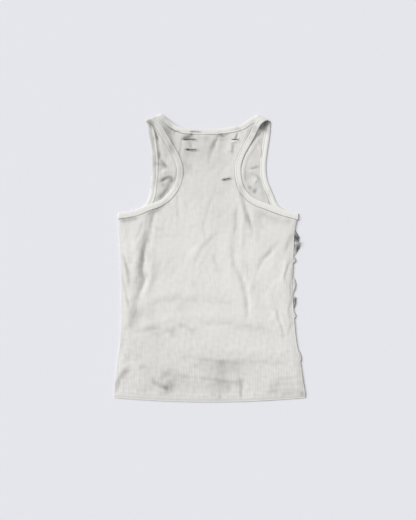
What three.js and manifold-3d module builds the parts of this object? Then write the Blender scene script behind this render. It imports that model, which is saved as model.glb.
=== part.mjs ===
// A ribbed racerback tank top laid flat, its back upwards and its front against the surface.
// Millimetres. X runs to the right of the page, Y from the hem to the neck, Z up from the surface.
// In the tables below, heights are measured up from the lowest point of the hem, and widths are
// measured from the centre line of the back.
import * as THREE from "three";
import { mergeVertices } from "three/addons/utils/BufferGeometryUtils.js";
import Module from "manifold-3d";

const wasm = await Module();
wasm.setup();

// Cloth
const WALL = 1.2;
const SEAM_GAP = 0.3;
const RIB_PITCH = 5.4;
const RIB_HEIGHT = 0.4;
const HEM_DEPTH = 16;
const HEM_EXTRA = 0.4;

// Bands that bind the neck and the armholes
const BAND_THICK = 2;
const BAND_ROUNDING = 0.6;
const NECK_BAND = 11.5;
const ARM_BAND = 12.6;
const SHOULDER_TAPER = 0.8; // share of its width that an armhole band keeps at the shoulder
const TAPER_REACH = 0.12; // share of an edge over which it widens again

// Levels of the two layers where they lie on each other
const BACK_INSIDE = 2.6;
const BACK_BAND_LEVEL = BACK_INSIDE + WALL / 2;
const FRONT_BAND_LEVEL = BAND_THICK / 2;
const TURN_LEVEL = (BACK_BAND_LEVEL + FRONT_BAND_LEVEL) / 2;
const TURN_RADIUS = (BACK_BAND_LEVEL - FRONT_BAND_LEVEL) / 2;
const TURN_REACH = TURN_RADIUS + BAND_THICK / 2;
const SHOULDER_LIP = 3;

// Mesh steps
const BAND_STEP = 9;
const TURN_STEPS = 4;
const COARSE_COLUMN = 2 * RIB_PITCH;
const CLEAR = 30;

const table = (columns, rows) =>
  rows.map((row) =>
    Object.fromEntries(columns.map((name, i) => [name, row[i]])),
  );

// Side seams, from the hem up to the underarm
const SIDES = table(
  ["up", "left", "right"],
  [
    [0, 197, 197.5],
    [25, 195, 195.5],
    [57, 191.5, 191],
    [90, 187.5, 186],
    [123, 183, 179],
    [172, 181, 174],
    [238, 180.5, 170.2],
    [303, 182.5, 172.5],
    [353, 186, 175.5],
    [388, 187.8, 182.4],
  ],
);
const HEM_RISE = 9;
const HEM_HALF = 197;

// The fold at the top of each strap: its outer tip, and its peak beside the neck
const SHOULDERS = {
  left: { tip: [-130.6, 577.9], peak: [-97.5, 591] },
  right: { tip: [126, 576], peak: [97.5, 589.4] },
};

// Free edge of the back neck, from the left strap to the right one
const BACK_NECK = table(
  ["across", "up"],
  [
    [-97, 588.8],
    [-84.7, 579.9],
    [-72.2, 569.9],
    [-58, 563],
    [-38, 560.6],
    [-8, 560.2],
    [22, 560.8],
    [43, 563.6],
    [65, 569],
    [81, 579.6],
    [96.6, 587.6],
  ],
);

// Free edge of the front neck, a deep scoop, at each height
const FRONT_NECK = table(
  ["up", "left", "right"],
  [
    [588.4, 97, 96.6],
    [574, 86, 86],
    [555, 75, 75],
    [530, 66, 66],
    [505, 56, 56],
    [487, 40, 40],
    [476, 0, 0],
  ],
);

// Free edges of the armholes, from the tip of the strap to the underarm
const BACK_ARMHOLE = {
  left: table(
    ["across", "up"],
    [
      [-130, 576.2],
      [-112, 564.6],
      [-98, 542.5],
      [-84.7, 520.3],
      [-72, 496.5],
      [-66.6, 476],
      [-69.7, 453.1],
      [-81, 432.5],
      [-100, 414.4],
      [-128, 404],
      [-155, 393],
      [-187, 388],
    ],
  ),
  right: table(
    ["across", "up"],
    [
      [125.4, 574.2],
      [110.5, 567.2],
      [95.7, 546.1],
      [82, 525.5],
      [71, 505],
      [64.8, 484],
      [65, 462],
      [73, 436.5],
      [92, 418],
      [122, 405.5],
      [152, 394.6],
      [181.6, 386.4],
    ],
  ),
};
const FRONT_ARMHOLE = {
  left: table(
    ["across", "up"],
    [
      [-130, 576.2],
      [-124.4, 549],
      [-119.2, 512],
      [-117.7, 480],
      [-120.4, 448],
      [-125.6, 418],
      [-137, 401],
      [-160, 391.5],
      [-187, 388],
    ],
  ),
  right: table(
    ["across", "up"],
    [
      [125.4, 574.2],
      [123.8, 549],
      [118.5, 512.5],
      [115.6, 482],
      [118.6, 455],
      [128.6, 430],
      [140.4, 404],
      [158, 392],
      [181.6, 386.4],
    ],
  ),
};

// Soft troughs and ridges of the back. Each row is one straight stretch of a fold.
const BACK_FOLDS = table(
  ["x0", "y0", "x1", "y1", "half", "lift"],
  [
    [-120, 385, -138, 314, 10, -1.5],
    [-138, 314, -143, 240, 10, -1.9],
    [-143, 240, -165, 146, 10, -1.2],
    [-112, 372, -122, 250, 13, 0.9],
    [-160, 330, -168, 240, 9, 0.7],
    [52, 408, 52, 300, 9, -0.9],
    [52, 300, 82, 176, 10, -1.1],
    [74, 400, 72, 310, 11, 0.7],
    [138, 326, 97, 281, 11, -0.9],
    [152, 300, 120, 262, 10, 0.7],
    [15, 342, -28, 285, 11, -0.8],
    [-2, 356, -46, 300, 11, 0.6],
    [-161, 187, -79, 213, 12, -0.8],
    [-79, 213, 32, 203, 12, -0.8],
    [-145, 146, -50, 162, 12, -1.1],
    [-50, 162, 130, 140, 12, -1.1],
    [-70, 186, 60, 178, 12, 0.7],
    [-59, 98, 175, 80, 12, -1.2],
    [-120, 118, 110, 112, 13, 0.8],
    [122, 227, 155, 145, 10, 0.9],
    [-118, 52, -80, 22, 11, -1],
    [16, 40, 17, 0, 9, 0.8],
    [64, 52, 64, 0, 9, -0.7],
  ],
);

// Ridges of the front that show through the armholes
const FRONT_FOLDS = table(
  ["x0", "y0", "x1", "y1", "half", "lift"],
  [
    [-84, 452, -97, 432, 7, 1.7],
    [-97, 486, -92, 480, 6, 1.1],
    [88, 458, 98, 440, 7, 1.6],
  ],
);

// The back rises a little between its edges, and sinks inside the scoop of the front
const BODY_RISE = 0.9;
const RISE_REACH = 45;
const SIDE_DROP = 1.1;
const DROP_REACH = 14;
const SCOOP_SINK = 1.6;
const SCOOP = { up: 562, half: 62, depth: 66 };

// Slits worn through the upper back: middle, length, gape, and turn in degrees
const BACK_SLITS = table(
  ["x", "y", "length", "gape", "turn"],
  [
    [-41.4, 537.6, 27, 4.2, 0],
    [-36, 516.8, 23, 3.8, -4],
    [53.3, 535.4, 16, 3.2, -9],
    [33.2, 456.6, 18, 3.2, 9],
  ],
);

// Slashes across the side of the front
const FRONT_SLASH = { x: 124, length: 72, gape: 5, first: 94, last: 354, count: 12 };

// Cut strips of the front that stick out past the right side: ends, farthest point, width
const LOOSE_STRIPS = table(
  ["top", "reach", "at", "bottom", "width"],
  [
    [349, 187, 327, 304, 15],
    [296, 175.4, 287, 279, 4],
    [251, 176.6, 242, 222, 5],
    [216, 177.8, 210, 190, 4.5],
    [186, 178, 181, 168, 4],
    [116, 187.4, 92, 72, 6],
  ],
);

const STRIP_SLOPE = 0.3;

const flat = (x, y, z = 0) => new THREE.Vector3(x, y, z);
const clamp = THREE.MathUtils.clamp;
const smoothstep = THREE.MathUtils.smoothstep;

function curve(points) {
  const path = new THREE.CatmullRomCurve3(points, false, "centripetal");
  path.arcLengthDivisions = 400;
  return path;
}

const edgeOf = (rows) => curve(rows.map((row) => flat(row.across, row.up)));

const neckEdge = curve([
  ...FRONT_NECK.map((row) => flat(-row.left, row.up)),
  ...FRONT_NECK.slice(0, -1)
    .reverse()
    .map((row) => flat(row.right, row.up)),
]);

// A table's column at any height, smooth between its rows.
function along(rows, key, up) {
  const i = clamp(
    rows.findIndex((row) => row.up > up) - 1,
    0,
    rows.length - 2,
  );
  const last = up >= rows[rows.length - 1].up ? rows.length - 2 : i;
  const [a, b] = [rows[last], rows[last + 1]];
  const before = rows[Math.max(last - 1, 0)];
  const after = rows[Math.min(last + 2, rows.length - 1)];
  const t = clamp((up - a.up) / (b.up - a.up), 0, 1);
  const step = b.up - a.up;
  const slopeA = ((b[key] - before[key]) / (b.up - before.up)) * step;
  const slopeB = ((after[key] - a[key]) / (after.up - a.up)) * step;
  return (
    a[key] * (1 + 2 * t) * (1 - t) ** 2 +
    slopeA * t * (1 - t) ** 2 +
    b[key] * t * t * (3 - 2 * t) +
    slopeB * t * t * (t - 1)
  );
}

const sideX = (side, up) =>
  side === "left" ? -along(SIDES, "left", up) : along(SIDES, "right", up);
const hemY = (x) => HEM_RISE * (x / HEM_HALF) ** 2;

// The folds' sum at a point: each stretch fades with distance from its line.
function foldLift(folds, x, y) {
  let sum = 0;
  for (const fold of folds) {
    const dx = fold.x1 - fold.x0;
    const dy = fold.y1 - fold.y0;
    const t = clamp(
      ((x - fold.x0) * dx + (y - fold.y0) * dy) / (dx * dx + dy * dy),
      0,
      1,
    );
    const off = Math.hypot(x - fold.x0 - t * dx, y - fold.y0 - t * dy);
    sum += fold.lift * Math.exp(-((off / fold.half) ** 2));
  }
  return sum;
}

function backLift(x, y) {
  const fromSide = Math.min(x - sideX("left", y), sideX("right", y) - x);
  const fromHem = y - hemY(x);
  const onBody = 1 - smoothstep(y, 330, 380);
  const edge = Math.min(fromSide, fromHem);
  const drop = SIDE_DROP * onBody * (1 - smoothstep(edge, 0, DROP_REACH));
  const rise = BODY_RISE * onBody * smoothstep(edge, 0, RISE_REACH);
  const inScoop =
    1 - Math.hypot(x / SCOOP.half, (y - SCOOP.up) / SCOOP.depth) ** 2;
  const sink = SCOOP_SINK * smoothstep(inScoop, 0, 0.8);
  const folds = foldLift(BACK_FOLDS, x, y) * smoothstep(edge, 0, DROP_REACH);
  return Math.max(rise - drop - sink + folds, y < 440 ? -SIDE_DROP : -SCOOP_SINK);
}

function frontLift(x, y) {
  const lift = foldLift(FRONT_FOLDS, x, y);
  return lift < 0.12 ? 0 : lift;
}

// Closed surfaces as solids, and solids as meshes
function solid(geometry) {
  geometry.deleteAttribute("normal");
  geometry.deleteAttribute("uv");
  const merged = mergeVertices(geometry, 1e-3);
  const triangles = new Uint32Array(merged.index.array);
  const build = () =>
    new wasm.Manifold(
      new wasm.Mesh({
        numProp: 3,
        vertProperties: new Float32Array(merged.attributes.position.array),
        triVerts: triangles,
      }),
    );
  const made = build();
  if (made.volume() > 0) return made;
  triangles.reverse();
  return build();
}

function surface(points, triangles) {
  const geometry = new THREE.BufferGeometry();
  geometry.setAttribute(
    "position",
    new THREE.Float32BufferAttribute(points.flat(), 3),
  );
  geometry.setIndex(triangles);
  return geometry;
}

// A block with a flat floor whose top follows height(x, row) over a grid.
function block(xs, ys, height, floor) {
  const wide = xs.length;
  const layer = wide * ys.length;
  const points = [];
  for (const z of [height, () => floor])
    for (const y of ys) for (const x of xs) points.push([x, rowY(x, y), z(x, y)]);
  const triangles = [];
  const quad = (a, b, c, d) => triangles.push(a, b, c, a, c, d);
  for (let j = 0; j < ys.length - 1; j++)
    for (let i = 0; i < wide - 1; i++) {
      const a = j * wide + i;
      quad(a, a + 1, a + 1 + wide, a + wide);
      quad(layer + a, layer + a + wide, layer + a + 1 + wide, layer + a + 1);
    }
  for (let i = 0; i < wide - 1; i++) {
    const top = (ys.length - 1) * wide + i;
    quad(i, layer + i, layer + i + 1, i + 1);
    quad(top, top + 1, layer + top + 1, layer + top);
  }
  for (let j = 0; j < ys.length - 1; j++) {
    const a = j * wide;
    const b = a + wide - 1;
    quad(a, a + wide, layer + a + wide, layer + a);
    quad(b, layer + b, layer + b + wide, b + wide);
  }
  return solid(surface(points, triangles));
}

// An upright prism over a closed outline of points.
function prism(points) {
  const shape = new THREE.Shape(points.map((p) => new THREE.Vector2(p.x, p.y)));
  const geometry = new THREE.ExtrudeGeometry(shape, {
    depth: 2 * CLEAR,
    bevelEnabled: false,
  });
  return solid(geometry.translate(0, 0, -CLEAR));
}

// A ribbon through stations. Each has the near and far points of its middle layer and its
// outward direction; the section is a flat strip with rounded edges.
function ribbon(stations, thick, closed) {
  const half = thick / 2;
  const round = BAND_ROUNDING;
  const points = [];
  for (const { near, far, out } of stations) {
    const inset = round / near.distanceTo(far);
    for (const [s, t] of [
      [0, 0],
      [inset, half],
      [1 - inset, half],
      [1, 0],
      [1 - inset, -half],
      [inset, -half],
    ])
      points.push(near.clone().lerp(far, s).addScaledVector(out, t).toArray());
  }
  const ring = 6;
  const spans = closed ? stations.length : stations.length - 1;
  const triangles = [];
  for (let i = 0; i < spans; i++)
    for (let k = 0; k < ring; k++) {
      const a = i * ring + k;
      const b = i * ring + ((k + 1) % ring);
      const next = ((i + 1) % stations.length) * ring;
      const c = next + ((k + 1) % ring);
      const d = next + k;
      triangles.push(a, b, c, a, c, d);
    }
  if (!closed) {
    const end = (stations.length - 1) * ring;
    for (let k = 1; k < ring - 1; k++) {
      triangles.push(0, k + 1, k);
      triangles.push(end, end + k, end + k + 1);
    }
  }
  return solid(surface(points, triangles));
}

// The fold line at the top of a strap, moved in by the reach of the turn.
function shoulderFold(side) {
  const tip = flat(...SHOULDERS[side].tip);
  const peak = flat(...SHOULDERS[side].peak);
  const line = peak.clone().sub(tip).normalize();
  const outward = flat(-line.y, line.x);
  if (outward.y < 0) outward.negate();
  return { point: tip.addScaledVector(outward, -TURN_REACH), line, outward };
}

// The fold line at an underarm, where the band turns round the side.
function underarmFold(side) {
  const sign = side === "left" ? -1 : 1;
  const corner = flat(sideX(side, SIDES[SIDES.length - 1].up), 0);
  return {
    point: corner.setX(corner.x - sign * TURN_REACH),
    line: flat(0, 1),
    outward: flat(sign, 0),
  };
}

const beyond = (fold, p) => p.clone().sub(fold.point).dot(fold.outward);

// A band's two edges on one layer: the free edge, and the seam a width away on the panel's
// side. Both start and end on their fold lines.
function bandEdges(edge, hand, width, startFold, endFold, taper = 1) {
  const length = edge.getLength();
  const far = (u, w) => {
    const within = clamp(u, 0, 1);
    const heading = edge.getTangentAt(within);
    const across = flat(-heading.y, heading.x).multiplyScalar(hand);
    return edge
      .getPointAt(within)
      .addScaledVector(heading, (u - within) * length)
      .addScaledVector(across, w * (taper + (1 - taper) * smoothstep(u, 0, TAPER_REACH)));
  };
  const reach = (fold, w, from, to) => {
    let [outside, inside] = [from, to];
    for (let i = 0; i < 40; i++) {
      const middle = (outside + inside) / 2;
      if (beyond(fold, far(middle, w)) > 0) outside = middle;
      else inside = middle;
    }
    return inside;
  };
  const steps = Math.round(length / BAND_STEP);
  const line = (w) => {
    const start = reach(startFold, w, -0.2, 0.4);
    const end = reach(endFold, w, 1.2, 0.6);
    return Array.from({ length: steps + 1 }, (_, i) =>
      far(start + ((end - start) * i) / steps, w),
    );
  };
  return { near: line(0), far: line(width), seam: line(width + SEAM_GAP) };
}

// Stations that carry a band round a fold, from the last of one layer to the first of the next.
function turn(fold, from, to, down) {
  return Array.from({ length: TURN_STEPS - 1 }, (_, i) => {
    const share = (i + 1) / TURN_STEPS;
    const angle = Math.PI * (down ? share : 1 - share);
    const out = fold.outward
      .clone()
      .multiplyScalar(Math.sin(angle))
      .setZ(Math.cos(angle));
    const shift = out.clone().multiplyScalar(TURN_RADIUS);
    const place = (p, q) =>
      p.clone().lerp(q, share).setZ(TURN_LEVEL).add(shift);
    return {
      near: place(from.near, to.near),
      far: place(from.far, to.far),
      out,
    };
  });
}

function layer(edges, level, lift, out) {
  return edges.near.map((near, i) => {
    const [a, b] = [near, edges.far[i]].map((p) =>
      p.clone().setZ(level + lift(p.x, p.y)),
    );
    return { near: a, far: b, out };
  });
}

// A band that runs along the back, round a fold, along the front and round the other fold.
function boundRing(back, front, startFold, endFold) {
  const top = layer(back, BACK_BAND_LEVEL, bandLift, flat(0, 0, 1));
  const low = layer(front, FRONT_BAND_LEVEL, () => 0, flat(0, 0, -1)).reverse();
  return ribbon(
    [
      ...top,
      ...turn(endFold, top[top.length - 1], low[0], true),
      ...low,
      ...turn(startFold, low[low.length - 1], top[0], false),
    ],
    BAND_THICK,
    true,
  );
}

// Bands follow the back's height only inside the scoop, where nothing lies under them.
const bandLift = (x, y) => (y > 440 ? Math.min(backLift(x, y), 0) : 0);

const folds = {
  left: shoulderFold("left"),
  right: shoulderFold("right"),
};

const neck = {
  back: bandEdges(edgeOf(BACK_NECK), -1, NECK_BAND, folds.left, folds.right),
  front: bandEdges(neckEdge, -1, NECK_BAND, folds.left, folds.right),
};

const armhole = Object.fromEntries(
  ["left", "right"].map((side) => {
    const hand = side === "left" ? 1 : -1;
    const under = underarmFold(side);
    const edges = (rows) =>
      bandEdges(
        edgeOf(rows[side]),
        hand,
        ARM_BAND,
        folds[side],
        under,
        SHOULDER_TAPER,
      );
    return [
      side,
      { back: edges(BACK_ARMHOLE), front: edges(FRONT_ARMHOLE), under },
    ];
  }),
);

// What a band's seam takes away from a panel: everything on the free side of it.
function beyondSeam(seam, ...corners) {
  const first = seam[0].clone().sub(seam[1]).setLength(CLEAR).add(seam[0]);
  const n = seam.length;
  const last = seam[n - 1].clone().sub(seam[n - 2]);
  last.setLength(CLEAR).add(seam[n - 1]);
  return prism([first, ...seam, last, ...corners]);
}

// The outline of body and straps, before the neck and the armholes are cut from it.
function wholeOutline(shoulderDrop) {
  const side = (name) =>
    SIDES.map((row) => flat(sideX(name, row.up), row.up)).slice(1);
  const hem = [];
  for (let i = 0; i <= 24; i++) {
    const x = THREE.MathUtils.lerp(sideX("left", 9), sideX("right", 9), i / 24);
    hem.push(flat(x, hemY(x)));
  }
  const strap = (name) => {
    const fold = folds[name];
    const start = fold.point.clone().addScaledVector(fold.outward, -shoulderDrop);
    return [-6, 46].map((s) =>
      start.clone().addScaledVector(fold.line, s),
    );
  };
  return prism([
    ...hem,
    ...side("right"),
    ...strap("right"),
    ...strap("left").reverse(),
    ...side("left").reverse(),
  ]);
}

// A lens-shaped slit right through the cloth.
function slit({ x, y, length, gape, turn: degrees }) {
  const angle = THREE.MathUtils.degToRad(degrees);
  const points = [];
  for (let i = 0; i < 14; i++) {
    const a = (i / 14) * 2 * Math.PI;
    const across = (Math.cos(a) * length) / 2;
    const up = (Math.sin(a) * Math.abs(Math.sin(a)) ** 0.4 * gape) / 2;
    points.push(
      flat(
        x + across * Math.cos(angle) - up * Math.sin(angle),
        y + across * Math.sin(angle) + up * Math.cos(angle),
      ),
    );
  }
  return prism(points);
}

// Grid lines of the back: ribbed columns over coarse ones, and rows that start along the hem
// and straighten above it, closer where folds run across.
const LEFT = -36.5 * RIB_PITCH;
function columns(step) {
  const xs = [];
  for (let x = LEFT; x < step - LEFT; x += step) xs.push(x);
  return xs;
}
const ROW_STEPS = table(
  ["from", "step"],
  [
    [0, 14.5],
    [225, 28],
  ],
);
const BACK_ROWS = (() => {
  const ys = [-8, HEM_DEPTH - 0.7, HEM_DEPTH + 0.7];
  while (ys[ys.length - 1] < 590) {
    const y = ys[ys.length - 1];
    const { step } = ROW_STEPS.findLast((row) => row.from <= y);
    ys.push(y + step);
  }
  return ys;
})();
const rowY = (x, row) => row + hemY(x) * clamp(1 - row / 160, 0, 1);

// A height taken at the coarse columns, and straight between them.
function onCoarse(height) {
  return (x, row) => {
    const a = LEFT + Math.floor((x - LEFT) / COARSE_COLUMN + 1e-6) * COARSE_COLUMN;
    const b = a + COARSE_COLUMN;
    const t = (x - a) / COARSE_COLUMN;
    const start = height(a, rowY(a, row)) * (1 - t);
    return t > 1e-6 ? start + height(b, rowY(b, row)) * t : start;
  };
}

function backPanel() {
  const lift = onCoarse(backLift);
  const rib = (x) =>
    Math.round((x - LEFT) / (RIB_PITCH / 2)) % 2 === 0 ? 0 : RIB_HEIGHT;
  const hem = (row) => (row < HEM_DEPTH ? HEM_EXTRA : 0);
  const outside = (x, row) =>
    BACK_INSIDE + WALL + lift(x, row) + hem(row) + rib(x);
  const inside = (x, row) => BACK_INSIDE + lift(x, row);
  let panel = block(columns(RIB_PITCH / 2), BACK_ROWS, outside, -1);
  panel = panel.subtract(block(columns(COARSE_COLUMN), BACK_ROWS, inside, -2));
  panel = panel.intersect(wholeOutline(SHOULDER_LIP + SEAM_GAP));
  panel = cutAway(panel, "back");
  for (const row of BACK_SLITS) panel = panel.subtract(slit(row));
  return panel;
}

// A layer of the outline with its neck and armholes cut out.
function cutAway(panel, name) {
  let left = panel.subtract(
    beyondSeam(neck[name].seam, flat(160, 700), flat(-160, 700)),
  );
  for (const [side, out] of [
    ["left", -320],
    ["right", 320],
  ])
    left = left.subtract(
      beyondSeam(armhole[side][name].seam, flat(out, 380), flat(out, 640)),
    );
  return left;
}

// The point of a seam that lies a depth inside its first fold line.
function inboard(seam, fold, depth) {
  const i = seam.findIndex((p) => beyond(fold, p) <= -depth);
  if (i === 0) return seam[0].clone();
  const [a, b] = [beyond(fold, seam[i - 1]), beyond(fold, seam[i])];
  return seam[i - 1].clone().lerp(seam[i], (a + depth) / (a - b));
}

// The front's cloth where it turns over a shoulder and lies on the back as far as the seam.
function shoulderTurn(side) {
  const fold = folds[side];
  const station = (name, depth, z, out) => {
    const neckSeam = neck[name].seam;
    const ordered = side === "left" ? neckSeam : [...neckSeam].reverse();
    return {
      near: inboard(armhole[side][name].seam, fold, depth).setZ(z),
      far: inboard(ordered, fold, depth).setZ(z),
      out,
    };
  };
  const backLevel = BACK_INSIDE + WALL / 2;
  const up = flat(0, 0, 1);
  const down = flat(0, 0, -1);
  const start = station("back", SHOULDER_LIP, backLevel, up);
  const over = station("back", 0, backLevel, up);
  const under = station("front", 0, WALL / 2, down);
  const end = station("front", 2, WALL / 2, down);
  const middle = [1, 2, 3].map((i) => {
    const share = i / 4;
    const angle = Math.PI * share;
    const out = fold.outward
      .clone()
      .multiplyScalar(Math.sin(angle))
      .setZ(Math.cos(angle));
    const radius = (backLevel - WALL / 2) / 2;
    const place = (p, q) =>
      p
        .clone()
        .lerp(q, share)
        .setZ((backLevel + WALL / 2) / 2)
        .addScaledVector(out, radius);
    return { near: place(over.near, under.near), far: place(over.far, under.far), out };
  });
  return ribbon([start, over, ...middle, under, end], WALL, false);
}

function looseStrip({ top, reach, at, bottom, width }) {
  const root = (y) => flat(sideX("right", y) - 7, y, WALL / 2);
  const path = curve([root(top), flat(reach, at, WALL / 2), root(bottom)]);
  const stations = Array.from({ length: 9 }, (_, i) => {
    const near = path.getPointAt(i / 8);
    const far = near.clone().setX(near.x - width);
    const outside = Math.max(far.x - sideX("right", far.y) - 1.5, 0);
    for (const p of [near, far]) p.z += STRIP_SLOPE * outside;
    return { near, far, out: flat(0, 0, 1) };
  });
  return ribbon(stations, WALL, false);
}

function frontPanel() {
  const steps = (from, to, step) => {
    const count = Math.round((to - from) / step);
    return Array.from({ length: count + 1 }, (_, i) => from + i * step);
  };
  const xs = [-210, ...steps(-116, -68, 8), ...steps(68, 116, 8), 210];
  const ys = [-8, ...steps(408, 508, 10), 600];
  const lift = (x, row) => frontLift(x, rowY(x, row));
  let panel = block(xs, ys, (x, row) => WALL + lift(x, row), -1);
  panel = panel.subtract(block(xs, ys, lift, -2));
  panel = cutAway(panel.intersect(wholeOutline(0)), "front");
  for (const side of ["left", "right"]) panel = panel.add(shoulderTurn(side));
  for (let i = 0; i < FRONT_SLASH.count; i++) {
    const { x, length, gape, first, last, count } = FRONT_SLASH;
    const y = first + ((last - first) * i) / (count - 1);
    panel = panel.subtract(slit({ x, y, length, gape, turn: 0 }));
  }
  for (const row of LOOSE_STRIPS) panel = panel.add(looseStrip(row));
  return panel;
}

const MATERIALS = {
  back: new THREE.MeshStandardMaterial({ color: 0xdfddd7, roughness: 0.92 }),
  front: new THREE.MeshStandardMaterial({ color: 0xd8d6d0, roughness: 0.92 }),
  band: new THREE.MeshStandardMaterial({ color: 0xe2e1db, roughness: 0.9 }),
};

function mesh(name, body, material) {
  const { numProp, vertProperties, triVerts } = body.getMesh();
  const points = [];
  for (let i = 0; i < vertProperties.length; i += numProp)
    points.push([...vertProperties.slice(i, i + 3)]);
  const geometry = surface(points, [...triVerts]);
  geometry.computeVertexNormals();
  const made = new THREE.Mesh(geometry, material.clone());
  made.name = name;
  return made;
}

const top = new THREE.Group();
top.add(mesh("back_panel", backPanel(), MATERIALS.back));
top.add(mesh("front_panel", frontPanel(), MATERIALS.front));
top.add(
  mesh(
    "neck_binding",
    boundRing(neck.back, neck.front, folds.left, folds.right),
    MATERIALS.band,
  ),
);
for (const side of ["left", "right"]) {
  const { back, front, under } = armhole[side];
  top.add(
    mesh(
      "armhole_binding_" + side,
      boundRing(back, front, folds[side], under),
      MATERIALS.band,
    ),
  );
}

// The origin is the middle of the footprint, on the surface.
const box = new THREE.Box3().setFromObject(top);
const middle = box.getCenter(new THREE.Vector3());
top.position.set(-middle.x, -middle.y, -box.min.z);

export default top;
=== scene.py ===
"""A ribbed racerback tank top laid flat with its back upwards: knit panels, bound edges,
stitching, worn slits and loose strips, dressed over the part's own solids.

The tables below are in millimetres. Heights are measured up from the lowest point of the hem,
widths across from the centre line of the back. Everything handed to Blender is in metres, in
the part's frame."""

import math

import bpy
import numpy as np
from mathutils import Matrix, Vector


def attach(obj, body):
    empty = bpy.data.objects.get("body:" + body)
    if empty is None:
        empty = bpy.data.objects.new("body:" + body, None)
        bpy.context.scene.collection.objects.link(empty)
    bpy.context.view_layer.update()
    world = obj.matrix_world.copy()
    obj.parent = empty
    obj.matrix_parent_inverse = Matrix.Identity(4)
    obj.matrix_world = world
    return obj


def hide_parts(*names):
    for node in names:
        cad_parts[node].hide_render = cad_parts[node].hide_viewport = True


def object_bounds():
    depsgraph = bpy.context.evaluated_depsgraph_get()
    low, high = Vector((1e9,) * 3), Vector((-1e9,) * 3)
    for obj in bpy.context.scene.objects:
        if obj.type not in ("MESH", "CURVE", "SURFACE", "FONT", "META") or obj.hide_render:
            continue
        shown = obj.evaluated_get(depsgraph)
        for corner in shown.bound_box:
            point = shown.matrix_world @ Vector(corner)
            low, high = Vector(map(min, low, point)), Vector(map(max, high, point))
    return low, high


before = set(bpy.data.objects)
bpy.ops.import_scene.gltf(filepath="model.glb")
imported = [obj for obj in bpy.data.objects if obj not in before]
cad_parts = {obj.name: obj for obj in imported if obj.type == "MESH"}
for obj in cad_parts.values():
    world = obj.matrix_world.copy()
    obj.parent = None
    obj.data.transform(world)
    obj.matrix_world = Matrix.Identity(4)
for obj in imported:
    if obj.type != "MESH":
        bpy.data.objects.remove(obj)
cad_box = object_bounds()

bl_info = {
    "name": "Ribbed Racerback Tank Top",
    "version": (1, 0, 0),
    "blender": (4, 5, 0),
    "location": "View3D > Sidebar > Tank Top",
    "description": "Rib-knit tank top laid flat, with bound edges, stitching and worn slits",
    "category": "Add Mesh",
}

MM = 0.001

# Heights of the tops of the straps and of the body, and half the width of the panels' grids
TOP = 592
BODY_TOP = 380
GRID_REACH = 199


def table(**columns):
    """Named columns of a short table, as arrays."""
    return {name: np.array(values, float) for name, values in columns.items()}


# Side seams, from the hem up to the underarm
SIDES = table(
    up=(0, 25, 57, 90, 123, 172, 238, 303, 353, 388),
    left=(197, 195, 191.5, 187.5, 183, 181, 180.5, 182.5, 186, 187.8),
    right=(197.2, 194.6, 189.6, 184.8, 178, 173.2, 169.6, 171.8, 174.7, 182.4),
)
HEM_RISE = 9
HEM_HALF = 197
HEM_DEPTH = 16

# The fold at the top of each strap: its outer tip, and its peak beside the neck
SHOULDERS = {
    "left": {"tip": (-130.6, 577.9), "peak": (-97.5, 591)},
    "right": {"tip": (126, 576), "peak": (97.5, 589.4)},
}

# Free edges of the neck, from the left strap to the right one
BACK_NECK = table(
    across=(-97, -84.7, -72.2, -58, -38, -8, 22, 43, 65, 81, 96.6),
    up=(588.8, 579.9, 569.9, 563, 560.6, 560.2, 560.8, 563.6, 569, 579.6, 587.6),
)
FRONT_NECK = table(
    across=(-97, -86, -75, -66, -56, -40, 0, 40, 56, 66, 75, 86, 96.6),
    up=(588.4, 574, 555, 530, 505, 487, 476, 487, 505, 530, 555, 574, 588.4),
)

# Free edges of the armholes, from the tip of the strap to the underarm
BACK_ARMHOLE = {
    "left": table(
        across=(-130, -112, -98, -84.7, -72, -66.6, -69.7, -81, -100, -128, -155, -187),
        up=(576.2, 564.6, 542.5, 520.3, 496.5, 476, 453.1, 432.5, 414.4, 404, 393, 388),
    ),
    "right": table(
        across=(125.4, 119, 112, 105, 99.5, 91, 82, 71, 64.8, 65, 73, 92, 122, 152, 181.6),
        up=(577.6, 577.6, 574.5, 568.5, 558.5, 541, 525.5, 505, 484, 462, 436.5, 418, 405.5, 394.6, 386.4),
    ),
}
FRONT_ARMHOLE = {
    "left": table(
        across=(-130, -124.4, -119.2, -117.7, -120.4, -125.6, -137, -160, -187),
        up=(576.2, 549, 512, 480, 448, 418, 401, 391.5, 388),
    ),
    "right": table(
        across=(125.4, 123.8, 118.5, 115.6, 118.6, 128.6, 140.4, 158, 181.6),
        up=(574.2, 549, 512.5, 482, 455, 430, 404, 392, 386.4),
    ),
}

# Levels of the two layers where they lie on each other
WALL = 1.2
BAND_THICK = 2.0
BACK_INSIDE = 2.6
BACK_BAND_LEVEL = BACK_INSIDE + WALL / 2
FRONT_BAND_LEVEL = BAND_THICK / 2
TURN_LEVEL = (BACK_BAND_LEVEL + FRONT_BAND_LEVEL) / 2
TURN_RADIUS = (BACK_BAND_LEVEL - FRONT_BAND_LEVEL) / 2
TURN_REACH = TURN_RADIUS + BAND_THICK / 2
SHOULDER_LIP = 3
SHOULDER_TAPER = 0.8
TAPER_REACH = 0.12

# How far the panels and the turned cloth of the shoulders reach under the bands, how far a
# seam runs on past its ends, and the distance given to cloth that has no seam beside it
SEAM_TUCK = 4
TURN_TUCK = 3
SEAM_REACH = 30
FAR = 99.0

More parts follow.
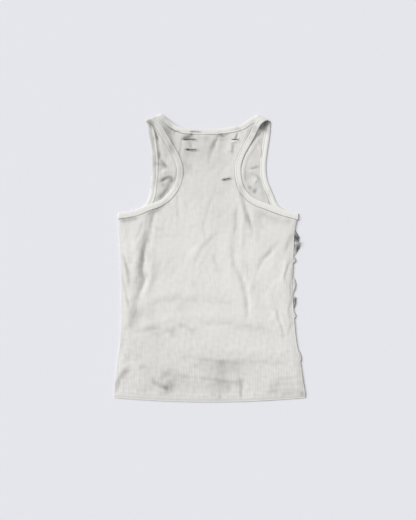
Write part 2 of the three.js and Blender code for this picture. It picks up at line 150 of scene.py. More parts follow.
# Soft folds of the back: half width, lift and depth of the painted shade of each, then the points
# that it runs through. A trough has a lift below 0. The shade is painted shade where the crease
# lies in shade; below 0 it is painted light.
BACK_FOLDS = [
    # the long fold down the left side, with the swells beside it
    (6, -2.3, 0.13, (-106, 402), (-118, 384), (-126, 358), (-131, 328), (-135, 300), (-139, 275),
     (-136, 250), (-142, 225), (-149, 205), (-157, 180), (-162, 152)),
    (3.4, -0.5, 0.36, (-130, 344), (-134.5, 315), (-138, 295), (-140, 275), (-136, 252), (-141, 232)),
    (5, -0.4, 0.24, (-116, 390), (-121, 366), (-124, 338), (-129, 312)),
    (8, 1.2, 0, (-148, 345), (-152, 300), (-155, 250), (-161, 215)),
    (8, 1.1, 0.02, (-108, 372), (-114, 340), (-120, 300), (-121, 260), (-130, 210)),
    (3, -0.6, 0.07, (-136, 368), (-145, 345), (-152, 328)),
    (3, -0.6, 0.09, (-108, 357), (-99, 352), (-90, 356)),
    (6, -0.8, 0.07, (-98, 284), (-104, 266), (-112, 250)),
    # small folds along the left side seam
    (3, -1.1, 0.2, (-178, 302), (-172, 285), (-166, 262), (-164, 248)),
    (3, -1, 0.16, (-180, 262), (-174, 235), (-169, 212), (-163, 194)),
    (5, -0.8, 0.07, (-172, 150), (-178, 122), (-182, 100)),
    (5.5, -1.2, 0.26, (-193, 22), (-188, 39), (-178, 54), (-166, 69)),
    # folds that fall from the right armhole
    (4.4, -1.3, 0.2, (59, 450), (66, 428), (71, 408), (76, 388), (81, 370), (89, 350)),
    (3, -0.5, 0.15, (76, 388), (81, 372), (86, 360)),
    (8, 1, 0, (88, 400), (92, 360), (96, 330)),
    (4.5, -1, 0.07, (57, 398), (56, 380), (56, 362), (51, 335)),
    (6, 0.9, 0, (65, 412), (68, 380), (66, 345), (68, 300)),
    (6, -0.8, 0.08, (104, 386), (106, 368), (118, 352)),
    # the long fold down the right of the middle
    (6, -1.5, 0.11, (48, 330), (50, 298), (55, 272), (65, 254), (71, 238), (75, 220), (77, 200),
     (80, 172)),
    (9, 1.1, 0, (60, 320), (62, 290), (76, 262), (86, 225), (92, 190)),
    (5, -0.9, 0.1, (140, 326), (125, 307), (113, 296), (105, 282), (98, 268)),
    (3, -0.3, 0.1, (126, 307), (114, 297)),
    (8, 0.6, 0, (152, 318), (134, 296), (120, 268)),
    # short folds across the middle
    (4.5, -0.55, 0.05, (18, 346), (6, 336), (-4, 326), (-12, 315)),
    (5, -0.6, 0.05, (-10, 322), (-20, 305), (-26, 290), (-31, 278)),
    (8, 0.5, 0, (4, 346), (-22, 320), (-38, 292)),
    (4, -0.6, 0.06, (6, 418), (0, 400), (-4, 388)),
    (4, -0.6, 0.07, (-8, 376), (-12, 352), (-8, 336)),
    (4, -0.7, 0.06, (9, 300), (14, 286), (23, 262)),
    (2.5, -0.5, 0.06, (-100, 339), (-78, 338), (-54, 341)),
    (8, -0.5, 0.05, (-30, 245), (-20, 232)),
    (4, -0.7, 0.08, (-64, 425), (-66, 400), (-62, 378)),
    (3, -0.5, 0.08, (-84, 412), (-74, 392)),
    # folds that run across the waist and the hips
    (9, -0.9, 0.1, (-166, 182), (-140, 183), (-118, 178)),
    (6, -0.5, 0.06, (-140, 176), (-112, 172)),
    (6, -0.8, 0.06, (-118, 196), (-80, 208), (-44, 213)),
    (5, -0.5, 0.07, (-62, 203), (-34, 209), (-18, 203)),
    (4.5, -0.5, 0.05, (-10, 206), (30, 203), (56, 200)),
    (9, 0.5, 0, (-120, 214), (-60, 228), (20, 218)),
    (5, -1, 0.09, (-152, 143), (-126, 147), (-102, 154)),
    (6, -0.5, 0.08, (-110, 146), (-92, 137)),
    (5, -0.7, 0.12, (-90, 149), (-72, 142)),
    (5, -0.8, 0.1, (-66, 157), (-46, 153), (-27, 141)),
    (5, -0.9, 0.06, (-20, 160), (10, 158), (62, 157)),
    (6, -1.1, 0.09, (46, 152), (92, 153), (114, 146), (133, 137)),
    (9, 0.7, 0, (-130, 166), (-40, 178), (62, 174)),
    (6, -0.6, 0.05, (-62, 93), (-22, 90)),
    (5, -1.1, 0.13, (-26, 89), (10, 83), (68, 80)),
    (6, -0.9, 0.07, (62, 82), (100, 79), (174, 75)),
    (4, -0.3, 0.07, (4, 82), (36, 79), (64, 81)),
    (9, 0.9, 0, (-64, 112), (20, 106), (120, 100), (172, 98)),
    (4, -0.9, 0.09, (-62, 52), (-20, 49), (12, 45)),
    (4.5, -1, 0.14, (4, 46), (30, 42), (68, 42)),
    (4, -0.4, 0.16, (14, 44), (36, 41)),
    (9, -0.4, 0.12, (-100, 58), (-72, 60), (-52, 56)),
    (4, -1.5, 0.2, (-119, 52), (-111, 38), (-100, 32), (-86, 27), (-78, 30)),
    (5, -0.4, 0.2, (-96, 31), (-84, 28)),
    (6, 1, 0, (-104, 44), (-92, 42), (-78, 43)),
    (3.5, -0.7, 0.16, (-144, 69), (-136, 71), (-128, 71)),
    # folds along the right side seam
    (4, -1.2, 0.26, (176, 348), (168, 334), (160, 318), (157, 308)),
    (3, -0.9, 0.12, (173, 300), (164, 284), (156, 264), (158, 246)),
    (2.3, -1, 0.3, (172, 292), (168, 262), (166, 240), (168, 214), (163, 192), (166, 172)),
    (6, 0.8, 0, (157, 290), (152, 262), (150, 236)),
    (3, -0.9, 0.13, (170, 168), (166, 150), (162, 134)),
    (3.4, -0.9, 0.07, (136, 192), (142, 174), (148, 156), (154, 136)),
    (7, 1.1, 0, (122, 222), (130, 190), (140, 160)),
    (4, -0.6, 0.14, (182, 100), (187, 70), (192, 40), (194, 18)),
    # short creases above the hem
    (4, 0.8, 0.09, (17, 46), (18, 24), (17, 4)),
    (4, -1, 0.17, (65, 48), (66, 26), (65, 6)),
    (6, -0.5, 0.1, (116, 20), (150, 18), (192, 24)),
    (4, -0.5, 0.09, (118, 34), (160, 36), (194, 40)),
    (3, 0.5, 0.05, (130, 50), (160, 51), (192, 56)),
    # broad soft patches: a painted highlight on the right slit's lower lip, painted shade under the left
    # band
    (2.2, 0.8, -0.16, (45, 535.2), (52, 534.8), (61, 535)),
    (4.5, -0.4, 0.28, (-130, 385), (-112, 392), (-97, 402), (-86, 412)),
    (9, -0.5, 0.06, (-48, 482), (-48, 462)),
    (6, -0.3, 0.05, (-45, 505), (-25, 508)),
    # creases of the upper back, some of them pulled by the slits
    (4.2, -1, 0.2, (20, 552), (14, 542), (9, 531), (3, 518)),
    (3.6, -0.6, 0.14, (11, 538), (5, 524), (1, 506), (-2, 488)),
    (2.4, -0.3, 0.14, (16, 542), (8, 532), (3, 522)),
    (7, 0.9, 0, (24, 548), (20, 530), (14, 508)),
    (6, 0.6, 0, (-12, 548), (-8, 520)),
    (3.5, -1.2, 0.14, (-56, 543), (-58, 528), (-61, 508)),
    (3.4, -0.6, 0.62, (-55, 540), (-47, 543), (-36, 543.5)),
    (3, 0.7, 0, (-50, 534), (-30, 533)),
    (2.5, -0.5, 0.2, (-38, 553), (-35, 546)),
    (3, -0.8, 0.16, (-38, 531), (-37, 519)),
    (2, -0.3, 0.12, (-46, 532), (-38, 531)),
    (2.4, -0.9, 0.3, (58, 552), (56, 546), (53, 539)),
    (3, -1, 0.2, (49, 530), (48, 516), (50, 505)),
    (2.5, 0.5, 0.07, (34, 515), (48, 514)),
    (7, -0.5, 0.13, (-100, 586), (-92, 570), (-80, 545), (-70, 520), (-60, 500)),
    (3, -0.4, 0.08, (86, 572), (78, 552), (70, 532)),
]

# Flat places of the back that are greyer or paler than the rest: half width, depth of the painted
# grey and points. Below 0 the cloth is paler. Most of them are painted shade and painted light:
# shadows under the bands and straps and inside the slits, shade where the back lies alone over
# the front's scoop, and light against the hem's shadow; the rest is the cloth's own uneven tone.
BACK_PATCHES = [
    # straps and neck
    (4, 0.12, (-100, 588), (-95, 572), (-88, 556)), (1.8, 0.22, (-94, 586), (-86, 579), (-79, 571)),
    (6, 0.15, (-106, 583), (-91, 580)), (6, 0.16, (-128, 578), (-118, 571), (-108, 567)),
    (1.5, 0.22, (90, 578), (80, 567), (70, 558.5), (60, 554.5)),
    (2, 0.16, (91, 578), (86, 566), (79, 553), (72, 538)), (7, 0.2, (-129, 577), (-112, 569)),
    (4, 0.16, (110, 577), (122, 577)), (7, 0.24, (-126, 576), (-118, 568)),
    (13, 0.12, (-112, 576), (-97, 560), (-84, 542), (-74, 522)), (7, 0.12, (-124, 574), (-108, 567)),
    (4, 0.1, (-90, 574), (-80, 548)), (6, 0.22, (-86, 574), (-80, 562)),
    (5, 0.14, (-80, 572), (-78, 564)), (5, 0.12, (-126, 568), (-120, 560)),
    (5, 0.2, (95, 568), (91, 550)), (7, 0.1, (-104, 566), (-98, 550), (-90, 532)),
    (1.5, 0.42, (-86, 565), (-78, 559.5), (-69, 555), (-58, 552.6)),
    (2.6, 0.3, (-92, 564), (-85, 553), (-80, 541), (-73, 527)), (4, 0.12, (56, 560), (68, 554)),
    (5, 0.16, (-86, 558), (-78, 553)), (3, 0.14, (38, 557), (50, 559), (60, 563)),
    (1.6, 0.66, (-40, 555), (-34, 554.4), (-24, 553.8), (-17, 554)), (4, 0.14, (-34, 555), (-22, 554.5)),
    (5, 0.16, (-76, 553), (-71, 546)), (2.4, 0.4, (-40, 549), (-34, 548)),
    (1.6, 0.5, (56, 549), (54, 543), (53, 539)),
    (1.8, 0.7, (8, 548), (15, 546.8), (31, 546.8), (39, 548.2)), (5, 0.14, (87, 546), (83, 535)),
    (8, 0.09, (-104, 545), (-80, 508), (-62, 476), (-68, 445)), (5, 0.16, (-50, 545), (-34, 546)),
    (7, 0.08, (0, 542), (18, 540)), (7, 0.17, (-90, 541), (-84, 526), (-74, 508)),
    (7, 0.12, (-44, 541), (0, 539), (46, 541)), (5, 0.18, (9, 541), (5, 528)),
    (6, 0.1, (48, 541), (47, 518)),
    # upper back and slits: painted shadow inside the slits, painted highlights on their lower lips
    (2, 0.66, (-59, 539.6), (-53, 539), (-34, 538), (-25, 537.4)),
    (1.7, 0.6, (44, 538.6), (50, 538.6), (56, 538.8), (60, 538.4)), (6, 0.11, (-90, 538), (-79, 520)),
    (6, 0.12, (-87, 536), (-80, 520), (-70, 496)), (2.2, -0.16, (47, 535), (58, 534.8)),
    (1.4, 0.24, (45, 531.4), (50, 531.6), (57, 532)), (5, 0.14, (48, 531), (48, 518)),
    (12, 0.12, (-60, 530), (-46, 526), (-34, 530)), (9, 0.13, (-48, 522), (-45, 500), (-44, 474)),
    (2.3, 0.85, (-50, 518.2), (-44, 517.4), (-33, 516.4), (-26, 516)), (34, 0.13, (-34, 508), (34, 506)),
    (8, 0.08, (-60, 505), (-60, 450)), (7, 0.1, (-36, 504), (-30, 500)),
    (9, 0.12, (-50, 498), (-46, 480)), (10, -0.07, (14, 484), (28, 481)),
    (8, 0.08, (-42, 478), (-34, 470)), (14, -0.03, (0, 475), (18, 474)),
    (2.3, 0.85, (25, 454.8), (31, 456), (41, 457.4), (45, 457.8)), (2, -0.12, (22, 452), (32, 452.6)),
    (8, 0.08, (24, 452), (40, 452)), (5, 0.16, (67, 447), (66, 436)), (7, 0.12, (-76, 444), (-60, 448)),
    (50, 0.04, (-60, 440), (60, 430)), (12, 0.04, (10, 440), (22, 426)),
    # under the armholes
    (7, -0.1, (110, 415), (126, 406)), (6, -0.1, (112, 414), (124, 407)),
    (6, 0.12, (-106, 397), (-102, 386)), (8, 0.04, (50, 392), (52, 350)),
    (9, 0.1, (92, 392), (120, 378), (150, 370), (176, 366)),
    (5, 0.06, (56, 390), (58, 350), (57, 310), (63, 280), (72, 245), (76, 220)),
    (6, 0.12, (108, 386), (122, 379)), (20, 0.04, (0, 375), (40, 372)), (6, 0.07, (84, 374), (88, 350)),
    (4, 0.3, (-184, 373), (-168, 374), (-148, 378)), (6, 0.07, (148, 372), (168, 368)),
    (7, 0.12, (-136, 352), (-124, 345)), (6, 0.09, (84, 350), (86, 338)),
    # middle of the back
    (34, -0.045, (60, 330), (50, 260), (40, 215)), (7, -0.08, (-110, 326), (-110, 308)),
    (3, 0.08, (-128, 320), (-124, 300), (-126, 285)), (5, 0.16, (-141, 318), (-141, 302)),
    (10, -0.07, (-48, 317), (-24, 313)), (5, 0.1, (-131, 312), (-129, 298)),
    (6, 0.1, (-161, 302), (-164, 282)), (8, -0.08, (142, 294), (142, 278)),
    (5, -0.12, (-141, 292), (-140, 280)), (26, -0.035, (140, 290), (130, 230)),
    (5, 0.14, (-168, 275), (-166, 255), (-163, 238)), (30, -0.02, (-60, 270), (-20, 300)),
    (5, 0.16, (-144, 268), (-134, 256)), (5, 0.14, (-131, 268), (-129, 255)),
    (6, 0.11, (-165, 262), (-169, 232)), (7, 0.12, (-150, 262), (-133, 256)),
    (6, 0.12, (-151, 260), (-151, 240)),
    # waist
    (6, 0.14, (-146, 219), (-145, 206)), (9, 0.08, (-61, 202), (-61, 182)),
    (7, 0.12, (-152, 196), (-156, 168)), (8, 0.04, (-60, 196), (-40, 196)),
    (6, -0.08, (-157, 188), (-157, 180)), (6, 0.1, (-126, 186), (-112, 188)),
    (6, 0.09, (-142, 180), (-136, 172)), (14, -0.03, (150, 180), (142, 210)),
    (8, 0.14, (-142, 178), (-155, 165), (-166, 151)), (7, -0.09, (146, 156), (142, 174)),
    (6, 0.14, (-78, 152), (-68, 151)), (6, 0.1, (-34, 152), (-24, 148)),
    (6, 0.09, (-112, 151), (-96, 149)), (45, 0.04, (-150, 150), (-120, 100)),
    (6, 0.08, (-46, 150), (-32, 142)), (6, 0.1, (-84, 148), (-70, 144)), (6, 0.1, (78, 147), (92, 145)),
    (7, 0.08, (-118, 140), (-104, 139)), (6, 0.1, (-82, 140), (-64, 138)),
    (6, 0.09, (146, 139), (154, 132)), (6, 0.1, (-110, 138), (-100, 136)),
    (6, 0.1, (-112, 136), (-108, 130)),
    # hips and hem
    (7, 0.1, (-152, 98), (-146, 90)), (8, 0.07, (-168, 96), (-150, 92)), (6, 0.1, (-168, 94), (-166, 82)),
    (5, -0.06, (14, 90), (36, 89)), (8, 0.08, (2, 80), (8, 70)), (11, 0.08, (0, 77), (50, 76), (96, 76)),
    (10, 0.07, (2, 76), (48, 75)), (9, 0.1, (-34, 74), (-14, 74)), (8, 0.06, (0, 73), (64, 71)),
    (34, 0.05, (-140, 70), (-100, 60)), (6, 0.1, (-164, 68), (-162, 60)), (14, 0.09, (-20, 68), (60, 64)),
    (7, 0.1, (50, 62), (66, 60)), (60, 0.05, (-170, 60), (0, 62), (170, 50)),
    (8, 0.13, (12, 60), (34, 57)), (6, 0.1, (-71, 58), (-71, 50)), (8, 0.08, (-102, 52), (-76, 55)),
    (6, 0.12, (-108, 48), (-103, 42)), (8, 0.15, (-82, 48), (-78, 28)), (6, 0.1, (-50, 46), (-46, 40)),
    (8, 0.09, (-106, 44), (-90, 52), (-74, 48)), (6, 0.1, (12, 42), (16, 22)),
    (6, 0.1, (72, 40), (42, 38), (16, 34)), (8, -0.07, (126, 38), (138, 36)),
    (9, 0.13, (8, 36), (28, 33), (46, 36)), (7, 0.15, (-186, 30), (-180, 42), (-168, 53)),
    (20, 0.07, (-112, 30), (-40, 33), (48, 28)), (24, 0.05, (120, 30), (180, 36)),
    (6, 0.14, (-191, 28), (-182, 45)), (12, 0.06, (-150, 28), (-130, 18)), (7, 0.15, (11, 28), (10, 12)),
    (6, 0.1, (-84, 26), (-74, 24)), (7, 0.13, (-92, 25), (-77, 20)), (6, 0.1, (36, 24), (44, 22)),
    (9, 0.06, (122, 20), (186, 22)), (6, 0.14, (187, 20), (191, 12)), (6, 0.09, (-96, 18), (-76, 16)),
    (7, 0.12, (-104, 16), (-98, 12)), (7, 0.2, (186, 14), (195, 18)), (5, -0.06, (44, 5), (110, 8)),
]

# The same for the front's inner face, where it shows through the armholes; its shade is painted
# shade in the creases
FRONT_FOLDS = [
    (2.4, -0.9, 0.2, (-122, 574), (-116, 562), (-111, 550), (-107, 538), (-104, 516), (-104, 494)),
    (4, 0.8, 0, (-98, 545), (-96, 520), (-90, 500)),
    (4, -0.8, 0.4, (-112, 488), (-104, 488), (-95, 487), (-86, 479)),
    (3, -0.4, 0.3, (-101, 497), (-96, 491), (-89, 486)),
    (3.8, -1, 0.5, (-102, 452), (-93, 457.5), (-84, 461.5), (-74, 459)),
    (4, -0.5, 0.4, (-76, 456), (-81, 449)),
    (4.4, -0.9, 0.55, (-77, 454), (-84, 443), (-92, 431), (-101, 421), (-109, 415)),
    (4, 0.7, 0, (-98, 450), (-90, 448), (-84, 454)),
    (5, 2.2, 0, (-68, 447), (-76, 434), (-90, 420)),
    (3, -0.4, 0.08, (-112, 470), (-110, 440)),
    (3, -0.8, 0.34, (83, 478), (92, 480), (101, 484)),
    (3, 0.9, 0, (84, 472), (96, 474)),
    (3, -0.8, 0.2, (78, 458), (86, 467), (98, 464), (104, 454)),
    (8, 1.5, 0, (90, 456), (96, 450)),
    (3, -0.7, 0.32, (80, 441), (86, 438)),
    (3.6, -0.8, 0.36, (90, 437), (92, 430), (96, 438)),
    (3, -0.9, 0.14, (103, 458), (106, 444), (110, 430), (113, 414)),
    (5, -0.3, 0.03, (100, 530), (98, 512), (90, 500)),
    (4, 0.7, 0, (96, 545), (104, 520), (106, 500)),
    # a swell of the front's cloth above the arch in the left armhole
    (5, 1.4, 0, (-98, 471), (-86, 474), (-76, 470)),
    # a swell of the front's cloth beside the right armhole's edge
    (4.5, 1.6, 0, (100, 540), (86, 518), (75, 498), (68.5, 477), (70, 456), (80, 434)),
]
# Greyer and paler places of the front's inner face, as for the back: painted shade and painted light
FRONT_PATCHES = [
    # under the straps: painted shadow where the back's straps and bands overhang the front, and painted
    # light beside the right armhole's edge
    (7, 0.8, (128, 580), (119, 574), (109, 566), (102, 556)),
    (3.2, 0.55, (-132, 579), (-124, 574), (-117, 567)), (6, 0.5, (124, 579), (112, 572)),
    (7, 0.26, (-131, 578), (-124, 548), (-116, 512), (-113, 484), (-114, 452)),
    (6, 0.16, (-128, 578), (-118, 571), (-108, 567)), (7, 0.14, (-126, 574), (-112, 567)),
    (5, 0.45, (119, 572), (114, 562), (111, 556)),
    (2, 0.26, (-121, 570), (-121, 558), (-118, 534), (-115, 512)), (2.4, 0.3, (-122, 568), (-121, 561)),
    (4, 0.2, (-116, 566), (-110, 558)),
    (1.8, 0.2, (-112, 563), (-98, 541), (-85, 519), (-73, 497), (-68, 476), (-71, 453), (-82, 433),
     (-101, 415)),
    (6, 0.22, (119, 562), (116, 550)), (2.4, 0.4, (107, 558), (96, 544), (84, 527)),
    (2.2, 0.5, (-111.5, 557), (-109.5, 549), (-107, 538)),
    (2.6, 0.22, (-114, 548), (-116, 534), (-115, 515)), (11, 0.07, (-98, 532), (-97, 500)),
    (7, -0.1, (92, 526), (94, 516)), (7, -0.16, (82, 518), (75, 502), (72, 480)),
    (2.6, 0.28, (-104, 514), (-103, 506), (-104, 497)), (8, -0.16, (80, 514), (74, 500), (72, 486)),
    (2.2, 0.12, (-112, 500), (-111, 470), (-112, 440)),
    # lower part of the armholes
    (5, 0.14, (-117, 488), (-115, 466)), (3, 0.2, (-100, 478), (-93, 484)),
    (6, 0.18, (-115, 476), (-98, 478)), (6, -0.1, (-95, 468), (-87, 466)),
    (4, 0.16, (-83, 459), (-75, 455)), (6, 0.16, (-117, 452), (-121, 436)),
    (5, 0.2, (-98, 449), (-93, 441)), (5, 0.12, (124, 436), (121, 420)),
]

# The back rises between its edges, which are rounded, and sinks inside the scoop of the front
EDGE_ROUND = 0.9
EDGE_REACH = 3.5
BROAD_WAVE = 0.16
HEM_LIFT = 0.25
BODY_RISE = 0.9
RISE_REACH = 45
SIDE_DROP = 1.1
HEM_DIP = 1.25
FRONT_SHORT = 5
DROP_REACH = 14
SCOOP_SINK = 1.6
SCOOP = {"up": 562, "half": 62, "depth": 66}

# Places where a seam lies so flat that its painted line of shade hardly shows: middle, reach and strength
# left
FAINT_SEAMS = table(
    x=(58, 62, -96, 96, -112, 112, -107, 104, 104, -72, -150, -10, -110),
    y=(492, 522, 582, 580, 570, 566, 470, 500, 450, 530, 382, 548, 430),
    reach=(22, 18, 16, 16, 12, 14, 30, 36, 30, 26, 14, 16, 24),
    left=(0.1, 0.2, 0.15, 0.2, 0.3, 0.3, 0.35, 0.3, 0.3, 0.5, 0.6, 0.6, 0.1),
)

# Number and depth of the small crumples, and how much painted light and painted shade one fold or patch can
# add to the cloth
CRUMPLES = 420
CRUMPLE = 0.34
SHADE_LIMITS = (-0.16, 0.9)

# What differs between the layers: their folds and patches, how far these stray to both sides
# of their lines, the seed of their crumples, and how far they end from the shoulders' folds
# and from the hem
LAYERS = {
    "back": {
        "folds": BACK_FOLDS,
        "patches": BACK_PATCHES,
        "stray": 1.2,
        "seed": 5,
        "top_gap": SHOULDER_LIP,
        "hem_gap": 0,
    },
    "front": {
        "folds": FRONT_FOLDS,
        "patches": FRONT_PATCHES,
        "stray": 0.8,
        "seed": 6,
        "top_gap": 0,
        "hem_gap": FRONT_SHORT,
    },
}

# Columns of stitches in each rib of the panels, and the finer ribs of the bands
WALES = 4
BAND_RIB = {"pitch": 2.7, "height": 0.16, "wales": 2}

# Slits worn through the upper back, their degrees of turn and the sway of their middle line
BACK_SLITS = table(
    x=(-41.4, -36, 52.6, 34.8),
    y=(537.8, 516.8, 537.6, 456.4),
    length=(27, 23, 16, 16),
    gape=(3.2, 4.0, 2.0, 3.8),
    turn=(1, -4, -6, 7),
    sway=(0.3, 0.9, 0.2, 0.4),
)
# How far each slit's lips stand up, upper and lower
SLIT_LIPS = table(upper=(1.8, 1.5, 1.2, 1.4), lower=(0.5, 0.8, 1.7, 1.0))

# Slashes across the side of the front
FRONT_SLASH = {"x": 124, "length": 72, "gape": 5, "first": 94, "last": 354, "count": 12}

# Cut strips of the front that stick out past the right side: the middle line and width of
# each, from where it leaves the side to where it comes back, and the depth of its painted shade,
# where the strip curls into shadow
LOOSE_STRIPS = [
    (table(across=(168, 173, 176.2, 179, 181.6, 180.4, 177, 173.6, 168),
           up=(360, 351.5, 341, 331, 326.3, 321, 312, 304.5, 299),
           width=(3, 5, 9, 13.4, 4, 9.6, 8.8, 6, 3)), 0.92),
    (table(across=(165, 170.6, 172.6, 170.6, 165), up=(298, 295.5, 291, 286, 283),
           width=(3, 6, 7.4, 6, 3)), 0.3),
    (table(across=(165, 171, 172.8, 172, 170, 165), up=(257, 252, 246, 234, 224, 219),
           width=(3, 6, 7.8, 7.4, 6.2, 3)), 0.16),
    (table(across=(167, 175.6, 174.8, 173.2, 171, 166), up=(216, 213.4, 207, 199, 191, 187),
           width=(2, 3.2, 4, 4, 3.2, 2)), 0.8),
    (table(across=(167, 172.6, 174, 173, 167), up=(187, 183, 178, 172, 167),
           width=(2, 4, 5, 4, 2)), 0.12),
    (table(across=(179, 183.4, 185.3, 185, 179), up=(109, 101.5, 92, 82, 73),
           width=(4, 4.4, 5, 4.6, 4)), 0.16),
]

# Ends of single threads, in the same plane: start, end, and how far each bows
LOOSE_THREADS = table(
    x0=(179.5, 180, 182, 181, 176, 175.6, 174, -54, -30, -26, 59, 26),
    y0=(327.5, 325.5, 327, 324.5, 214.5, 153.5, 290, 538.5, 537.2, 515.5, 534.4, 455.6),
    x1=(190.5, 189, 187, 190, 179.6, 178.8, 177.2, -59, -25, -22, 63.5, 21.5),
    y1=(327.2, 330, 323, 322.5, 213.4, 152.8, 288.6, 540.4, 534.4, 517.6, 531.6, 453.2),
    bow=(1.4, -1.0, 0.8, -0.9, 0.5, 0.4, 0.5, 0.8, -0.9, 0.8, -0.8, 0.9),
)
THREAD_RADIUS = 0.22
STRIP_LEVEL = 2.4
SLIT_LEVEL = 4.0


# Plain geometry


def smoothstep(value, low, high):
    t = np.clip((value - low) / (high - low), 0, 1)
    return t * t * (3 - 2 * t)


def column_at(rows, key, up):
    """A table's column at any height, smooth between its rows."""
    ups, values = rows["up"], rows[key]
    last = len(ups) - 1
    i = np.clip(np.searchsorted(ups, up, side="right") - 1, 0, last - 1)
    before, after = np.maximum(i - 1, 0), np.minimum(i + 2, last)
    step = ups[i + 1] - ups[i]
    t = np.clip((up - ups[i]) / step, 0, 1)
    slope_a = (values[i + 1] - values[before]) / (ups[i + 1] - ups[before]) * step
    slope_b = (values[after] - values[i]) / (ups[after] - ups[i]) * step
    return (
        values[i] * (1 + 2 * t) * (1 - t) ** 2
        + slope_a * t * (1 - t) ** 2
        + values[i + 1] * t * t * (3 - 2 * t)
        + slope_b * t * t * (t - 1)
    )


def side_x(side, up):
    sign = -1 if side == "left" else 1
    return sign * column_at(SIDES, side, up)


def hem_y(x):
    return HEM_RISE * (x / HEM_HALF) ** 2


# Where the tables' centre line and hem lie in the part's frame, from the part's own box.
SHIFT = np.array(
    [
        cad_box[0].x / MM - side_x("left", HEM_RISE),
        cad_box[0].y / MM,
    ]
)


def in_frame(points):
    """Points of the tables, as metres in the part's frame."""
    placed = np.array(points, float)
    placed[:, :2] += SHIFT
    return placed * MM


class Curve:
    """A smooth line through a table's points, measured along its length."""

    SPANS = 24

    def __init__(self, rows):
        knots = np.stack([rows["across"], rows["up"]], 1)
        first = 2 * knots[0] - knots[1]
        last = 2 * knots[-1] - knots[-2]
        padded = np.vstack([first, knots, last])
        pieces = []
        for i in range(len(knots) - 1):
            pieces.append(self.piece(*padded[i : i + 4]))
        self.points = np.vstack(pieces + [knots[-1:]])
        steps = np.linalg.norm(np.diff(self.points, axis=0), axis=1)
        self.run = np.concatenate([[0], np.cumsum(steps)])
        self.length = self.run[-1]

    def piece(self, p0, p1, p2, p3):
        """One centripetal Catmull-Rom span, from p1 up to p2."""
        knots = [0.0]
        for a, b in ((p0, p1), (p1, p2), (p2, p3)):
            knots.append(knots[-1] + np.linalg.norm(b - a) ** 0.5)
        t0, t1, t2, t3 = knots
        t = np.linspace(t1, t2, self.SPANS, endpoint=False)[:, None]
        a1 = ((t1 - t) * p0 + (t - t0) * p1) / (t1 - t0)
        a2 = ((t2 - t) * p1 + (t - t1) * p2) / (t2 - t1)
        a3 = ((t3 - t) * p2 + (t - t2) * p3) / (t3 - t2)
        b1 = ((t2 - t) * a1 + (t - t0) * a2) / (t2 - t0)
        b2 = ((t3 - t) * a2 + (t - t1) * a3) / (t3 - t1)
        return ((t2 - t) * b1 + (t - t1) * b2) / (t2 - t1)

    def at(self, share):
        """Points and headings at shares of the length; straight on beyond the ends."""
        share = np.atleast_1d(share).astype(float)
        within = np.clip(share, 0, 1) * self.length

        def spot(run):
            return np.stack(
                [np.interp(run, self.run, self.points[:, k]) for k in (0, 1)], 1
            )

        reach = 1.5
        ahead = spot(np.minimum(within + reach, self.length))
        behind = spot(np.maximum(within - reach, 0))
        heading = ahead - behind
        heading /= np.linalg.norm(heading, axis=1, keepdims=True)
        beyond = share * self.length - within
        return spot(within) + heading * beyond[:, None], heading


def shoulder_fold(side):
    """The fold line at the top of a strap, moved in by the reach of the turn."""
    tip, peak = (np.array(SHOULDERS[side][end], float) for end in ("tip", "peak"))
    line = (peak - tip) / np.linalg.norm(peak - tip)
    outward = np.array([-line[1], line[0]])
    outward *= np.sign(outward[1])
    return {"point": tip - outward * TURN_REACH, "line": line, "outward": outward}


def underarm_fold(side):
    """The fold line at an underarm, where the band turns round the side."""
    sign = -1 if side == "left" else 1
    edge = float(side_x(side, SIDES["up"][-1]))
    return {
        "point": np.array([edge - sign * TURN_REACH, 0]),
        "line": np.array([0.0, 1.0]),
        "outward": np.array([float(sign), 0.0]),
    }


def beyond(fold, points):
    return (points - fold["point"]) @ fold["outward"]


class BandEdges:
    """The lines of one band on one layer, at any distance from its free edge."""

    def __init__(self, rows, hand, width, start, end, taper=1.0):
        self.curve, self.hand, self.width = Curve(rows), hand, width
        self.start, self.end, self.taper = start, end, taper

    def offset(self, share, distance):
        points, heading = self.curve.at(share)
        across = np.stack([-heading[:, 1], heading[:, 0]], 1) * self.hand
        keep = self.taper + (1 - self.taper) * smoothstep(share, 0, TAPER_REACH)
        return points + across * (distance * keep)[:, None]

    def crossing(self, fold, distance, outside, inside):
        for _ in range(30):
            middle = (outside + inside) / 2
            if beyond(fold, self.offset(np.array([middle]), distance))[0] > 0:
                outside = middle
            else:
                inside = middle
        return inside

    def ends(self, distance):
        """Shares of the length at which a line meets the folds at its start and its end."""
        return (
            self.crossing(self.start, distance, -0.2, 0.4),
            self.crossing(self.end, distance, 1.2, 0.6),
        )

    def line(self, distance, count):
        return self.offset(np.linspace(*self.ends(distance), count + 1), distance)


def waves(x, y, seed, short, long, count=9):
    """Slight unevenness: a few crossing waves of random heading, between -1 and 1."""
    random = np.random.default_rng(seed)
    total = np.zeros(np.shape(x))
    for _ in range(count):
        angle, size, phase = random.uniform((0, short, 0), (math.pi, long, 6.28))
        total += np.sin((x * math.cos(angle) + y * math.sin(angle)) * 6.28 / size + phase)
    return total / math.sqrt(count)


def crumples(layer, x, y, reach):
    """Many short shallow folds of a worn knit, each of random place, heading and size."""
    random = np.random.default_rng(LAYERS[layer]["seed"])
    total = np.zeros(np.shape(x))
    for _ in range(CRUMPLES):
        at_x, at_y = random.uniform((-200, 0), (200, TOP))
        angle = random.normal(random.choice((0.15, 1.45)), 0.5)
        half = random.uniform(2.2, 5.0)
        length = half * random.uniform(1.6, 5.0)
        strength = reach * random.choice((-1.0, 0.8)) * random.uniform(0.4, 1.0)
        near = (np.abs(x - at_x) < 3 * length) & (np.abs(y - at_y) < 3 * length)
        along, across = along_across(x[near] - at_x, y[near] - at_y, angle)
        total[near] += strength * np.exp(-((along / length) ** 2) - (across / half) ** 2)
    return total


